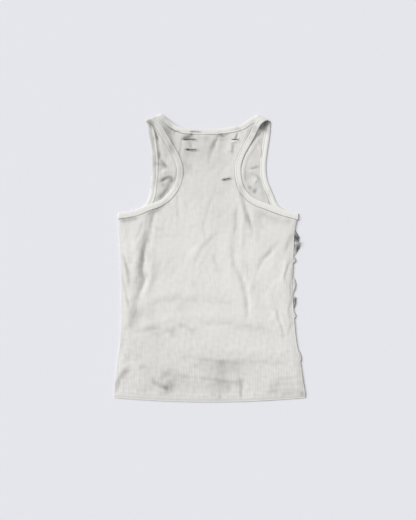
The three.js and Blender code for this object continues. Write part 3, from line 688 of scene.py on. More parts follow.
def strayed(x, y, stray):
    """Places moved a little to all sides, so that folds don't run along even lines."""
    return (
        x + stray * (waves(x, y, 11, 26, 60) + 0.4 * waves(x, y, 12, 9, 20)),
        y + stray * (waves(x, y, 13, 26, 60) + 0.4 * waves(x, y, 14, 9, 20)),
    )


def near_folds(rows, stray, x, y):
    """Each fold's strength at points; it fades across its line and towards its ends, keeps
    to its own points and strays a little between them."""
    x, y = strayed(x, y, stray)
    uneven = np.clip(1 + 0.3 * waves(x, y, 15, 18, 44), 0.4, 1.6)
    for half, lift, shade, *path in rows:
        path = np.column_stack(strayed(*np.array(path, float).T, stray))
        legs = np.linalg.norm(np.diff(path, axis=0), axis=1)
        runs = np.concatenate([[0], np.cumsum(legs)])
        nearest = np.full(np.shape(x), np.inf)
        share = np.zeros(np.shape(x))
        for i, leg in enumerate(legs):
            dx, dy = (path[i + 1] - path[i]) / leg
            along = np.clip((x - path[i, 0]) * dx + (y - path[i, 1]) * dy, 0, leg)
            off = np.hypot(x - path[i, 0] - along * dx, y - path[i, 1] - along * dy)
            closer = off < nearest
            nearest = np.where(closer, off, nearest)
            share = np.where(closer, (runs[i] + along) / runs[-1], share)
        ends = smoothstep(share, -0.15, 0.25) * smoothstep(1 - share, -0.15, 0.25)
        yield lift, shade, ends * uneven * np.exp(-((nearest / half) ** 2))


def fold_lift(layer, x, y):
    rows, stray = LAYERS[layer]["folds"], LAYERS[layer]["stray"]
    return sum(lift * near for lift, _, near in near_folds(rows, stray, x, y))


def fold_shade(layer, x, y):
    """Depth of the painted shade of a layer's folds and patches together; below 0 it is painted light."""
    rows, stray = LAYERS[layer]["folds"], LAYERS[layer]["stray"]
    rows = rows + [(half, 0, shade, *path) for half, shade, *path in LAYERS[layer]["patches"]]
    light = np.ones(np.shape(x))
    for _, shade, near in near_folds(rows, stray, x, y):
        light *= 1 - np.clip(shade * near, *SHADE_LIMITS)
    return 1 - light


def seam_strength(x, y):
    """How strongly the painted shade along a seam shows, from 0 to 1."""
    strength = 0.85 + 0.3 * waves(x, y, 21, 16, 50)
    for row in rows_of(FAINT_SEAMS):
        near = np.exp(-(((x - row["x"]) ** 2 + (y - row["y"]) ** 2) / row["reach"] ** 2))
        strength *= 1 - (1 - row["left"]) * near
    return np.clip(strength, 0.08, 1.1)


def signed_distance(x, y, outline):
    """Distance to a closed outline, positive inside it."""
    inside = np.zeros(np.shape(x), bool)
    nearest = np.full(np.shape(x), np.inf)
    for (ax, ay), (bx, by) in zip(outline, np.roll(outline, -1, axis=0)):
        dx, dy = bx - ax, by - ay
        if dx == 0 and dy == 0:
            continue
        t = np.clip(((x - ax) * dx + (y - ay) * dy) / (dx * dx + dy * dy), 0, 1)
        nearest = np.minimum(nearest, np.hypot(x - ax - t * dx, y - ay - t * dy))
        if dy != 0:
            inside ^= ((ay > y) != (by > y)) & (x < ax + (y - ay) * dx / dy)
    return np.where(inside, nearest, -nearest)


def along_across(dx, dy, angle):
    """Offsets measured along and across a heading."""
    c, s = math.cos(angle), math.sin(angle)
    return dx * c + dy * s, -dx * s + dy * c


def slit_places(x, y, row):
    """Coordinates along and across a slit."""
    along, across = along_across(x - row["x"], y - row["y"], math.radians(row["turn"]))
    bend = row.get("sway", 0) * np.sin(2 * math.pi * along / row["length"])
    return along, across - bend


def outside_slit(x, y, row):
    """Positive outside the lens shape of a slit."""
    along, across = slit_places(x, y, row)
    half = row["length"] / 2
    open_half = row["gape"] / 2 * np.clip(1 - (along / half) ** 2, 0, 1) ** 0.7
    return np.maximum(np.abs(across) - open_half, np.abs(along) - half)


def rows_of(columns):
    """A short table's rows, each with its columns' names."""
    names = list(columns)
    return [dict(zip(names, map(float, row))) for row in zip(*columns.values())]


FOLDS = {side: shoulder_fold(side) for side in ("left", "right")}
UNDERARMS = {side: underarm_fold(side) for side in ("left", "right")}


def make_bands(neck_width, arm_width):
    """Edges of every band: neck and armholes, on the back and on the front."""
    bands = {
        "neck": {
            "back": BandEdges(BACK_NECK, -1, neck_width, FOLDS["left"], FOLDS["right"]),
            "front": BandEdges(FRONT_NECK, -1, neck_width, FOLDS["left"], FOLDS["right"]),
        }
    }
    for side, hand in (("left", 1), ("right", -1)):
        bands[side] = {
            layer: BandEdges(
                rows[side], hand, arm_width, FOLDS[side], UNDERARMS[side], SHOULDER_TAPER
            )
            for layer, rows in (("back", BACK_ARMHOLE), ("front", FRONT_ARMHOLE))
        }
    return bands


def whole_outline(top_gap):
    """Outline of body and straps, before the neck and the armholes are cut from it."""
    xs = np.linspace(side_x("left", HEM_RISE), side_x("right", HEM_RISE), 60)
    hem = np.stack([xs, hem_y(xs)], 1)
    ups = np.linspace(12, SIDES["up"][-1], 60)
    right = np.stack([side_x("right", ups), ups], 1)
    left = np.stack([side_x("left", ups), ups], 1)[::-1]
    straps = []
    for side in ("right", "left"):
        fold = FOLDS[side]
        start = fold["point"] - fold["outward"] * top_gap
        ends = [start - 6 * fold["line"], start + 46 * fold["line"]]
        straps += ends if side == "right" else ends[::-1]
    return np.vstack([hem, right, straps, left])


def beyond_seam(seam, corners):
    """What a band's seam takes away from a panel: everything on its free side."""
    first, last = (
        a + (a - b) / np.linalg.norm(a - b) * SEAM_REACH
        for a, b in ((seam[0], seam[1]), (seam[-1], seam[-2]))
    )
    return np.vstack([[first], seam, [last], corners])


def band_cuts(bands, layer, tuck):
    """Outlines of what the bands' seams take from one panel, moved out by the tuck."""
    neck = bands["neck"][layer]
    cuts = [beyond_seam(neck.line(neck.width - tuck, 70), [(160, 700), (-160, 700)])]
    for side, out in (("left", -320), ("right", 320)):
        edge = bands[side][layer]
        seam = edge.line(edge.width - tuck, 60)
        cuts.append(beyond_seam(seam, [(out, 380), (out, 640)]))
    return cuts


def panel_field(bands, layer, slits):
    """A function that is positive on the cloth of one panel and negative off it."""
    cuts = band_cuts(bands, layer, SEAM_TUCK)
    outline = whole_outline(LAYERS[layer]["top_gap"])

    def field(x, y):
        from_hem = y - hem_y(x) - LAYERS[layer]["hem_gap"]
        value = np.minimum(signed_distance(x, y, outline), from_hem)
        for cut in cuts:
            value = np.minimum(value, -signed_distance(x, y, cut))
        for row in slits:
            value = np.minimum(value, outside_slit(x, y, row))
        return value

    return field


def grid_corners(names):
    """The four corners of every cell of a grid of vertex numbers."""
    return [names[:-1, :-1], names[:-1, 1:], names[1:, 1:], names[1:, :-1]]


def grid_faces(points, columns):
    """Faces of points that lie row by row in a grid."""
    names = np.arange(len(points)).reshape(-1, columns)
    return np.stack(grid_corners(names), -1).reshape(-1, 4).tolist()


def cut_grid(x, y, field):
    """Vertices and faces of a grid where the field is positive, cut along its zero line."""
    inside = (field(x, y) > 0).ravel()
    corners = grid_corners(np.arange(x.size).reshape(x.shape))
    flags = [inside[corner] for corner in corners]
    full = np.all(flags, 0)
    some = np.any(flags, 0) & ~full
    faces = np.stack([corner[full] for corner in corners], 1).tolist()
    cuts = {}
    for cell in zip(*(corner[some].tolist() for corner in corners)):
        face = []
        for k in range(4):
            a, b = cell[k], cell[(k + 1) % 4]
            if inside[a]:
                face.append(a)
            if inside[a] != inside[b]:
                key = (a, b) if inside[a] else (b, a)
                face.append(x.size + cuts.setdefault(key, len(cuts)))
        faces.append(face)
    keys = np.array(list(cuts), int)
    points = np.stack([x.ravel(), y.ravel()], 1)
    start, end = points[keys[:, 0]], points[keys[:, 1]]
    low, high = np.full(len(keys), 0.06), np.ones(len(keys))
    for _ in range(9):
        middle = (low + high) / 2
        at = start + (end - start) * middle[:, None]
        on_cloth = field(at[:, 0], at[:, 1]) > 0
        low = np.where(on_cloth, middle, low)
        high = np.where(on_cloth, high, middle)
    points = np.vstack([points, start + (end - start) * low[:, None]])
    used = np.unique(np.concatenate([np.array(face) for face in faces]))
    rename = np.full(len(points), -1)
    rename[used] = np.arange(len(used))
    return points[used], [rename[face].tolist() for face in faces]


# Heights of the two layers


def scoop_sink(x, y):
    """How far the back sinks where the front's scoop lies under it."""
    inside = 1 - ((x / SCOOP["half"]) ** 2 + ((y - SCOOP["up"]) / SCOOP["depth"]) ** 2)
    return SCOOP_SINK * smoothstep(inside, 0, 0.8)


def back_height(x, y, rise):
    """Outer face of the back panel, in the grooves of its ribs."""
    from_side = np.minimum(x - side_x("left", y), side_x("right", y) - x)
    from_hem = y - hem_y(x)
    on_body = 1 - smoothstep(y, BODY_TOP - 50, BODY_TOP)
    edge = np.minimum(from_side, from_hem)
    inner = np.where(y < BODY_TOP, smoothstep(edge, 0, DROP_REACH), 1)
    drop = SIDE_DROP * on_body * (1 - smoothstep(edge, 0, DROP_REACH))
    drop += EDGE_ROUND * (1 - smoothstep(edge, 0, EDGE_REACH)) * (y < BODY_TOP + 12)
    lifted = BODY_RISE * on_body * smoothstep(edge, 0, RISE_REACH)
    folds = fold_lift("back", x, y) * inner * rise
    folds += crumples("back", x, y, CRUMPLE) * inner * rise
    folds += BROAD_WAVE * waves(x, y, 4, 34, 95) * inner
    floor = np.where(y < BODY_TOP + 60, -SIDE_DROP, -SCOOP_SINK)
    lift = np.maximum(lifted - drop - scoop_sink(x, y) + folds, floor)
    lift -= HEM_DIP * (1 - smoothstep(from_hem, 0.5, FRONT_SHORT + 1.5))
    for row, upper, lower in zip(rows_of(BACK_SLITS), *SLIT_LIPS.values()):
        along, across = slit_places(x, y, row)
        near = np.exp(-((along / (0.42 * row["length"])) ** 4))
        lift += near * upper * np.exp(-np.maximum(across, 0) / 3.2) * (across > 0)
        lift += near * lower * np.exp(-np.maximum(-across, 0) / 2.2) * (across <= 0)
    hem = HEM_LIFT * (1 - smoothstep(from_hem, HEM_DEPTH - 1.5, HEM_DEPTH + 1.5))
    return BACK_INSIDE + WALL + lift + hem


def front_lift(x, y):
    """How far the front is lifted off the surface, where it shows through the armholes."""
    lift = fold_lift("front", x, y) + crumples("front", x, y, CRUMPLE)
    in_armholes = smoothstep(y, 396, 412) * (np.abs(x) > 60)
    return np.maximum(lift + 0.2, 0) * in_armholes


# Meshes, modifiers and materials in Blender


def new_mesh(name, points, faces):
    mesh = bpy.data.meshes.new(name)
    mesh.from_pydata(points.tolist(), [], faces)
    mesh.validate()
    mesh.update()
    mesh.shade_smooth()
    return mesh


def new_object(name, data):
    made = bpy.data.objects.new(name, data)
    bpy.context.scene.collection.objects.link(made)
    return made


def store(mesh, name, values):
    """Writes a number or a vector for each vertex."""
    kind = "FLOAT" if np.ndim(values) == 1 else "FLOAT_VECTOR"
    layer = mesh.attributes.new(name, kind, "POINT")
    field = "value" if kind == "FLOAT" else "vector"
    layer.data.foreach_set(field, np.asarray(values, np.float32).ravel())


def store_looks(mesh, run, mask, shade, from_seam=FAR):
    """What ribs and material read at each vertex. A single number holds for all of them."""
    looks = {"rib_run": run, "rib_mask": mask, "shade": shade, "from_seam": from_seam}
    for name, values in looks.items():
        store(mesh, name, np.broadcast_to(values, len(mesh.vertices)))


def add_tree(obj, label, tree, values):
    """Adds a geometry-nodes modifier and sets its inputs by their names."""
    modifier = obj.modifiers.new(label, "NODES")
    modifier.node_group = tree
    for item in tree.interface.items_tree:
        if item.item_type == "SOCKET" and item.in_out == "INPUT" and item.name in values:
            modifier[item.identifier] = values[item.name]


def settle(obj):
    """Replaces an object by the plain mesh that its modifiers make."""
    graph = bpy.context.evaluated_depsgraph_get()
    result = bpy.data.meshes.new_from_object(obj.evaluated_get(graph))
    if obj.type == "MESH":
        obj.modifiers.clear()
        obj.data = result
        return obj
    made = new_object(obj.name + "_made", result)
    name = obj.name
    bpy.data.objects.remove(obj)
    made.name = name
    return made


def once(name, make):
    """Finds a node group by its name, or makes it the first time."""
    return bpy.data.node_groups.get(name) or make(name)


def group_with(name, kind, inputs, outputs):
    """An empty node group with named inputs and outputs, and the sockets they give inside."""
    group = bpy.data.node_groups.new(name, kind)
    for label, sort, default in inputs:
        made = group.interface.new_socket(label, in_out="INPUT", socket_type="NodeSocket" + sort)
        if default is not None:
            made.default_value = default
    for label, sort in outputs:
        group.interface.new_socket(label, in_out="OUTPUT", socket_type="NodeSocket" + sort)
    start, end = group.nodes.new("NodeGroupInput"), group.nodes.new("NodeGroupOutput")
    return group, start.outputs, end.inputs


def give(tree, sockets, values):
    """Sets inputs by their names: links them to another node's output or to a value."""
    for key, value in values.items():
        if isinstance(value, bpy.types.NodeSocket):
            tree.links.new(value, sockets[key])
        else:
            sockets[key].default_value = value


def add_node(tree, kind, values, **options):
    """Outputs of a new node with its options and inputs set."""
    node = tree.nodes.new(kind)
    for key, value in options.items():
        setattr(node, key, value)
    give(tree, node.inputs, values)
    return node.outputs


def math_node(tree, operation, a, b=None):
    values = {0: a} if b is None else {0: a, 1: b}
    return add_node(tree, "ShaderNodeMath", values, operation=operation)[0]


def end_tree(tree, start, end, made):
    """Makes a tree's geometry real and gives it its material."""
    real = add_node(tree, "GeometryNodeRealizeInstances", {0: made})[0]
    values = {"Geometry": real, "Material": start["Material"]}
    give(tree, end, {"Geometry": add_node(tree, "GeometryNodeSetMaterial", values)[0]})
    return tree


def rib_tree(name):
    """Raises rounded ribs along the cloth's normal, by the attributes rib_run and rib_mask."""
    tree, start, end = group_with(
        name,
        "GeometryNodeTree",
        (
            ("Geometry", "Geometry", None),
            ("Pitch", "Float", 5.4),
            ("Height", "Float", 0.0004),
            ("Material", "Material", None),
        ),
        (("Geometry", "Geometry"),),
    )
    run, mask = (
        add_node(tree, "GeometryNodeInputNamedAttribute", {"Name": attribute})[0]
        for attribute in ("rib_run", "rib_mask")
    )
    turns = math_node(tree, "DIVIDE", run, start["Pitch"])
    wave = math_node(tree, "COSINE", math_node(tree, "MULTIPLY", turns, 2 * math.pi))
    values = {"Value": wave, "From Min": -0.85, "From Max": 0.75}
    shape = add_node(tree, "ShaderNodeMapRange", values, interpolation_type="SMOOTHSTEP")[0]
    height = math_node(tree, "MULTIPLY", shape, start["Height"])
    height = math_node(tree, "MULTIPLY", height, mask)
    normal = add_node(tree, "GeometryNodeInputNormal", {})[0]
    values = {0: normal, "Scale": height}
    offset = add_node(tree, "ShaderNodeVectorMath", values, operation="SCALE")[0]
    values = {"Geometry": start["Geometry"], "Offset": offset}
    return end_tree(tree, start, end, add_node(tree, "GeometryNodeSetPosition", values)[0])


def stitch_tree(name):
    """Lays small rounded stitches end to end along a line."""
    tree, start, end = group_with(
        name,
        "GeometryNodeTree",
        (
            ("Geometry", "Geometry", None),
            ("Spacing", "Float", 0.0031),
            ("Length", "Float", 0.0024),
            ("Thread", "Float", 0.0005),
            ("Material", "Material", None),
        ),
        (("Geometry", "Geometry"),),
    )
    values = {"Curve": start["Geometry"], "Length": start["Spacing"]}
    spots = add_node(tree, "GeometryNodeCurveToPoints", values, mode="LENGTH")
    values = {"Segments": 6, "Rings": 4, "Radius": 0.5}
    bead = add_node(tree, "GeometryNodeMeshUVSphere", values)["Mesh"]
    values = {"X": start["Length"], "Y": start["Thread"], "Z": start["Thread"]}
    size = add_node(tree, "ShaderNodeCombineXYZ", values)[0]
    values = {"Vector": spots["Tangent"]}
    aim = add_node(tree, "FunctionNodeAlignRotationToVector", values, axis="X")[0]
    values = {"Points": spots["Points"], "Instance": bead, "Rotation": aim, "Scale": size}
    return end_tree(tree, start, end, add_node(tree, "GeometryNodeInstanceOnPoints", values)[0])


def knit_group(name):
    """Shader group of rib-knit cloth: colour with painted shade in its grooves, and height, from
    places in millimetres.
    """
    group, start, end = group_with(
        name,
        "ShaderNodeTree",
        (
            ("Place", "Vector", None),
            ("Cloth", "Color", (0.78, 0.78, 0.75, 1)),
            ("Groove", "Color", (0.66, 0.66, 0.63, 1)),
            ("Rib Pitch", "Float", 5.4),
            ("Wale Pitch", "Float", 1.35),
            ("Course Pitch", "Float", 1.2),
            ("Mottle", "Float", 0.05),
        ),
        (("Color", "Color"), ("Height", "Float"), ("Roughness", "Float")),
    )
    place = start["Place"]
    split = add_node(group, "ShaderNodeSeparateXYZ", {0: place})

    def calc(operation, a, b=None):
        return math_node(group, operation, a, b)

    def noise(at, scale, detail):
        values = {"Vector": at, "Scale": scale, "Detail": detail}
        return add_node(group, "ShaderNodeTexNoise", values)["Fac"]

    # each wale is a column of V shapes: a wave along it, bent back from the wale's middle
    bend = calc("PINGPONG", calc("DIVIDE", split["X"], start["Wale Pitch"]), 0.5)
    course = calc("DIVIDE", split["Y"], start["Course Pitch"])
    loops = calc("SINE", calc("MULTIPLY", calc("ADD", course, bend), 2 * math.pi))
    columns = calc("SINE", calc("MULTIPLY", bend, 2 * math.pi))
    height = calc("ADD", calc("MULTIPLY", loops, 0.35), calc("MULTIPLY", columns, 0.5))
    # the grooves between the ribs are darker: painted shade
    ribs = calc("DIVIDE", split["X"], start["Rib Pitch"])
    ribs = calc("COSINE", calc("MULTIPLY", ribs, 2 * math.pi))
    groove = calc("MULTIPLY", calc("SUBTRACT", 1, ribs), 0.5)

    # broad clouds, fine fuzz, and streaks that run along the ribs
    broad, fuzz = noise(place, 0.022, 3), noise(place, 0.9, 2)
    values = {0: place, 1: (0.3, 0.012, 0)}
    stretched = add_node(group, "ShaderNodeVectorMath", values, operation="MULTIPLY")[0]
    streaks = noise(stretched, 1, 2)
    uneven = calc("ADD", calc("MULTIPLY", broad, 1.2), calc("MULTIPLY", fuzz, 0.5))
    uneven = calc("ADD", uneven, calc("MULTIPLY", streaks, 0.7))
    uneven = calc("MULTIPLY", calc("SUBTRACT", uneven, 1.2), start["Mottle"])
    # the knit's own uneven tone, plus painted shade in the grooves and in the hollows of the loops
    shade = calc("ADD", calc("MULTIPLY", groove, 0.55), uneven)
    shade = calc("SUBTRACT", shade, calc("MULTIPLY", loops, 0.05))
    values = {"Factor": shade, "A": start["Cloth"], "B": start["Groove"]}
    blend = add_node(group, "ShaderNodeMix", values, data_type="RGBA")["Result"]
    height = calc("ADD", height, calc("MULTIPLY", fuzz, 0.8))
    rough = calc("ADD", 0.86, calc("MULTIPLY", fuzz, 0.12))
    give(group, end, {"Color": blend, "Height": height, "Roughness": rough})
    return group


def shade_group(name):
    """Shader group that paints shade into the cloth's colour: in its folds and patches, and in a line
    beside its seams.
    """
    group, start, end = group_with(
        name,
        "ShaderNodeTree",
        (
            ("Color", "Color", None),
            ("Shade", "Float", 0),
            ("From Seam", "Float", FAR),
            ("Seam Reach", "Float", 3.0),
            ("Seam Depth", "Float", 0.62),
        ),
        (("Color", "Color"),),
    )

    def calc(operation, a, b=None):
        return math_node(group, operation, a, b)

    # painted shade of a seam's line, fading over Seam Reach from the seam
    near = calc("DIVIDE", start["From Seam"], start["Seam Reach"])
    near = calc("MAXIMUM", calc("SUBTRACT", 1, calc("ABSOLUTE", near)), 0)
    seam = calc("MULTIPLY", calc("MULTIPLY", near, near), start["Seam Depth"])
    light = calc("MULTIPLY", calc("SUBTRACT", 1, seam), calc("SUBTRACT", 1, start["Shade"]))
    values = {"Factor": light, "A": (0.035, 0.036, 0.033, 1), "B": start["Color"]}
    mixed = add_node(group, "ShaderNodeMix", values, data_type="RGBA")["Result"]
    give(group, end, {"Color": mixed})
    return group


def new_material(name):
    """A new material, its node tree and the inputs of its shader."""
    material = bpy.data.materials.new(name)
    material.use_nodes = True
    tree = material.node_tree
    return material, tree, tree.nodes["Principled BSDF"].inputs


def cloth_material(name, cloth, groove, place, rib_pitch, wales, mottle):
    """Matt rib knit with some wales to each rib; place is 'object' or the name of a vector
    attribute in millimetres."""
    material, tree, shader = new_material(name)
    if place == "object":
        values = {
            "Vector": add_node(tree, "ShaderNodeTexCoord", {})["Object"],
            "Location": (-SHIFT[0], -SHIFT[1], 0),
            "Scale": (1 / MM, 1 / MM, 1 / MM),
        }
        at = add_node(tree, "ShaderNodeMapping", values)[0]
    else:
        at = add_node(tree, "ShaderNodeAttribute", {}, attribute_name=place)["Vector"]
    values = {
        "Place": at,
        "Cloth": (*cloth, 1),
        "Groove": (*groove, 1),
        "Rib Pitch": rib_pitch,
        "Wale Pitch": rib_pitch / wales,
        "Mottle": mottle,
    }
    knit = add_node(tree, "ShaderNodeGroup", values, node_tree=once("Rib knit face", knit_group))
    # painted shade and light from the mesh's attributes: folds, patches and seams
    shade, from_seam = (
        add_node(tree, "ShaderNodeAttribute", {}, attribute_name=attribute)["Fac"]
        for attribute in ("shade", "from_seam")
    )
    values = {"Color": knit["Color"], "Shade": shade, "From Seam": from_seam}
    greyed = once("Shade of folds and seams", shade_group)
    grey = add_node(tree, "ShaderNodeGroup", values, node_tree=greyed)
    values = {"Strength": 0.25, "Distance": 0.0004, "Height": knit["Height"]}
    values = {
        "Sheen Weight": 0.25,
        "Sheen Roughness": 0.6,
        "Specular IOR Level": 0.25,
        "Base Color": grey["Color"],
        "Roughness": knit["Roughness"],
        "Normal": add_node(tree, "ShaderNodeBump", values)[0],
    }
    give(tree, shader, values)
    return material


def plain_material(name, color, roughness):
    """One colour, very slightly uneven."""
    material, tree, shader = new_material(name)
    coordinates = add_node(tree, "ShaderNodeTexCoord", {})["Object"]
    noise = add_node(tree, "ShaderNodeTexNoise", {"Scale": 900, "Vector": coordinates})
    values = {
        "Factor": noise["Fac"],
        "A": (*[c * 0.96 for c in color], 1),
        "B": (*[min(c * 1.03, 1) for c in color], 1),
    }
    mixed = add_node(tree, "ShaderNodeMix", values, data_type="RGBA")["Result"]
    give(tree, shader, {"Specular IOR Level": 0.2, "Base Color": mixed, "Roughness": roughness})
    return material


def ribbed(obj, pitch, height, material, thickness):
    """Ribs, then the wall's thickness towards the inside, made into a plain mesh."""
    obj.data.materials.append(material)
    values = {"Pitch": pitch, "Height": height * MM, "Material": material}
    add_tree(obj, "Ribs", once("Raised ribs", rib_tree), values)
    if thickness:
        wall = obj.modifiers.new("Wall", "SOLIDIFY")
        wall.thickness = thickness * MM
        wall.offset = -1
    settle(obj)
    obj.data.set_sharp_from_angle(angle=math.radians(50))


def panel_rows(step, fine_step, zones):
    """Heights of the grid's rows: closer across slits and at the hem's stitching."""
    rows = [-3.0]
    while rows[-1] < TOP:
        close = any(low <= rows[-1] + step and rows[-1] <= high for low, high in zones)
        rows.append(rows[-1] + (fine_step if close else step))
    return np.array(rows)


def panel_grid(rows, column):
    """A grid whose rows follow the hem and straighten above it."""
    half = math.ceil(GRID_REACH / column)
    xs = np.arange(-half, half + 1) * column
    x, row = np.meshgrid(xs, rows)
    return x, row + hem_y(x) * np.clip(1 - row / 160, 0, 1)


def rib_mask(x, y):
    """How much of their height the ribs keep: they are worn flatter above the hips."""
    return np.clip(0.95 - 0.55 * smoothstep(y, 50, 150) + 0.16 * waves(x, y, 41, 30, 80), 0.15, 1.1)


def make_panel(name, layer, slits, height, rows):
    """One panel, still a single face of cloth, with all that its ribs and material read."""
    bands = current_bands()
    grid = panel_grid(rows, settings().panels.rib_pitch / MM / WALES)
    points, faces = cut_grid(*grid, panel_field(bands, layer, slits))
    x, y = points.T
    if layer == "front":
        faces = [face[::-1] for face in faces]
    mesh = new_mesh(name, in_frame(np.column_stack([points, height(x, y)])), faces)
    # the grey of the cloth: painted shade of the folds and patches, painted shade in the troughs of the
    # crumples, and an uneven tone of its own that is taken away towards the hem, which is painted light
    # against the hem's shadow
    worn = crumples(layer, x, y, 1.0)
    tone_and_hem_light = 0.05 + 0.01 * waves(x, y, 31, 30, 110)
    patchy = 0.02 + 0.012 * (1 - smoothstep(y, 90, 190))
    tone_and_hem_light += patchy * waves(x, y, 32, 6, 18, 14)
    tone_and_hem_light *= smoothstep(y - hem_y(x), -4, 12)
    shade = np.clip(fold_shade(layer, x, y) + tone_and_hem_light + np.clip(-worn, 0, 1) * 0.04, 0, 0.95)
    # distance from the bands' seams, where the material paints a line of shade
    from_seam = np.min([-signed_distance(x, y, cut) for cut in band_cuts(bands, layer, 0)], 0)
    store_looks(mesh, x, rib_mask(x, y), shade, from_seam / seam_strength(x, y))
    return new_object(name, mesh)


def turned(fold, a, b, down):
    """Near and far points and outward directions of a strip that turns round a fold."""
    share = np.arange(1, TURN_STEPS)[:, None] / TURN_STEPS
    angle = math.pi * (share if down else 1 - share)
    out = np.hstack([fold["outward"] * np.sin(angle), np.cos(angle)])
    lines = []
    for p, q in zip(a, b):
        flat = p[:2] + (q[:2] - p[:2]) * share
        level = np.full((len(share), 1), TURN_LEVEL)
        lines.append(np.hstack([flat, level]) + out * TURN_RADIUS)
    return lines[0], lines[1], out


def band_ring(edges, folds):
    """Stations of a band right round its opening: along the back, round a fold, along the
    front and round the other fold."""
    start, end = folds
    sides = {}
    for layer, level in (("back", BACK_BAND_LEVEL), ("front", FRONT_BAND_LEVEL)):
        edge = edges[layer]
        lines = []
        for distance in (0, edge.width):
            flat = edge.line(distance, round(edge.curve.length / BAND_STEP))
            sink = scoop_sink(*flat.T) if layer == "back" else 0
            lines.append(np.column_stack([flat, np.broadcast_to(level - sink, len(flat))]))
        sides[layer] = lines
    back_near, back_far = sides["back"]
    front_near, front_far = (line[::-1] for line in sides["front"])
    ahead = (back_near[-1], back_far[-1]), (front_near[0], front_far[0])
    behind = (front_near[-1], front_far[-1]), (back_near[0], back_far[0])
    first = turned(end, *ahead, True)
    last = turned(start, *behind, False)
    near = np.vstack([back_near, first[0], front_near, last[0]])
    far = np.vstack([back_far, first[1], front_far, last[1]])
    up, down = np.array([[0, 0, 1.0]]), np.array([[0, 0, -1.0]])
    ups, downs = np.repeat(up, len(back_near), 0), np.repeat(down, len(front_near), 0)
    return near, far, np.vstack([ups, first[2], downs, last[2]])


# Section of a band: distance from the free edge as a share of its width, height in
# millimetres, and depth of its painted shade at the seam, in the stitching's groove and at the free edge
BAND_SECTION = table(
    across=(0, 0.02, 0.07, 0.16, 0.3, 0.45, 0.57, 0.62, 0.66, 0.7, 0.75, 0.84, 0.93, 0.98, 1,
            1, 0.96, 0.72, 0.66, 0.6, 0.3, 0.08, 0.02),
    height=(0, 0.42, 0.68, 0.8, 0.85, 0.83, 0.8, 0.72, 0.52, 0.72, 0.8, 0.82, 0.7, 0.4, 0.1,
            -0.6, -0.8, -0.85, -0.55, -0.85, -0.88, -0.75, -0.4),
    shade=(0.12, 0.02, 0, 0, 0, 0, 0, 0.03, 0.16, 0.03, 0, 0, 0.04, 0.4, 0.6,
           0.5, 0.1, 0, 0.1, 0, 0, 0, 0.1),
)
# Where the stitching lies on a band, and how finely a band is divided along and round a fold
STITCH_SHARE = 0.66
STITCH_LEVEL = 0.6
BAND_STEP = 0.7
TURN_STEPS = 10


def make_band(name, edges, folds, material):
    """A closed band, and the line of its stitching."""
    near, far, out = band_ring(edges, folds)
    section = BAND_SECTION
    count, ring = len(near), len(section["across"])
    share = section["across"][None, :, None]
    lift = section["height"][None, :, None]
    points = near[:, None] + (far - near)[:, None] * share + out[:, None] * lift
    points = points.reshape(-1, 3)
    names = np.arange(count * ring).reshape(count, ring)
    after = np.roll(names, -1, 0)
    faces = np.stack([names, np.roll(names, -1, 1), np.roll(after, -1, 1), after], -1)
    mesh = new_mesh(name, in_frame(points), faces.reshape(-1, 4).tolist())
    steps = np.linalg.norm(np.diff(near + far, axis=0) / 2, axis=1)
    run = np.repeat(np.concatenate([[0], np.cumsum(steps)])[:, None], ring, 1)
    across = section["across"][None] * np.linalg.norm(far - near, axis=1)[:, None]
    store(mesh, "strip", np.stack([run, across, 0 * across], -1).reshape(-1, 3))
    outer = np.tile((np.abs(section["height"]) > 0.66).astype(float), count)
    x, y = points[:, 0], points[:, 1]
    # painted shade: the section's own, the folds' and patches' on the flat parts, and a little where the
    # band turns round a fold, to tone down the light on it
    upward = np.repeat(out[:, 2], ring)
    folded = np.where(upward > 0.5, fold_shade("back", x, y), fold_shade("front", x, y))
    plain = np.tile(section["shade"], count) * seam_strength(x, y)
    level = np.abs(upward)
    shade = np.clip(plain + folded * (level > 0.5) + 0.16 * (1 - level), 0, 0.9)
    store_looks(mesh, run.ravel(), outer, shade)
    made = new_object(name, mesh)
    make_outward(made.data)
    ribbed(made, BAND_RIB["pitch"], BAND_RIB["height"], material, 0)
    return made, near + (far - near) * STITCH_SHARE + out * STITCH_LEVEL


def make_outward(mesh):
    """Turns a closed mesh's faces to point out."""
    points = np.empty(len(mesh.vertices) * 3)
    mesh.vertices.foreach_get("co", points)
    points = points.reshape(-1, 3)
    volume = 0.0
    for face in mesh.polygons:
        corners = points[list(face.vertices)]
        for k in range(1, len(corners) - 1):
            volume += np.dot(corners[0], np.cross(corners[k], corners[k + 1]))
    if volume < 0:
        mesh.flip_normals()


def line_curve(name, points):
    """A curve of straight spans through points of the tables."""
    data = bpy.data.curves.new(name, "CURVE")
    data.dimensions = "3D"
    spots = data.splines.new("POLY").points
    spots.add(len(points) - 1)
    spots.foreach_set("co", np.column_stack([in_frame(points), np.ones(len(points))]).ravel())
    return data


def stitch_row(name, line, material, closed, sewing):
    """One row of stitches along a line of points."""
    data = line_curve(name, line)
    data.splines[0].use_cyclic_u = closed
    row = new_object(name, data)
    values = {
        "Spacing": sewing.spacing,
        "Length": sewing.length,
        "Thread": sewing.thread,
        "Material": material,
    }
    add_tree(row, "Stitches", once("Row of stitches", stitch_tree), values)
    return settle(row)


def joined(name, objects):
    with bpy.context.temp_override(
        active_object=objects[0], selected_editable_objects=objects
    ):
        bpy.ops.object.join()
    objects[0].name = name
    objects[0].data.name = name
    return objects[0]


# Settings that a user would change


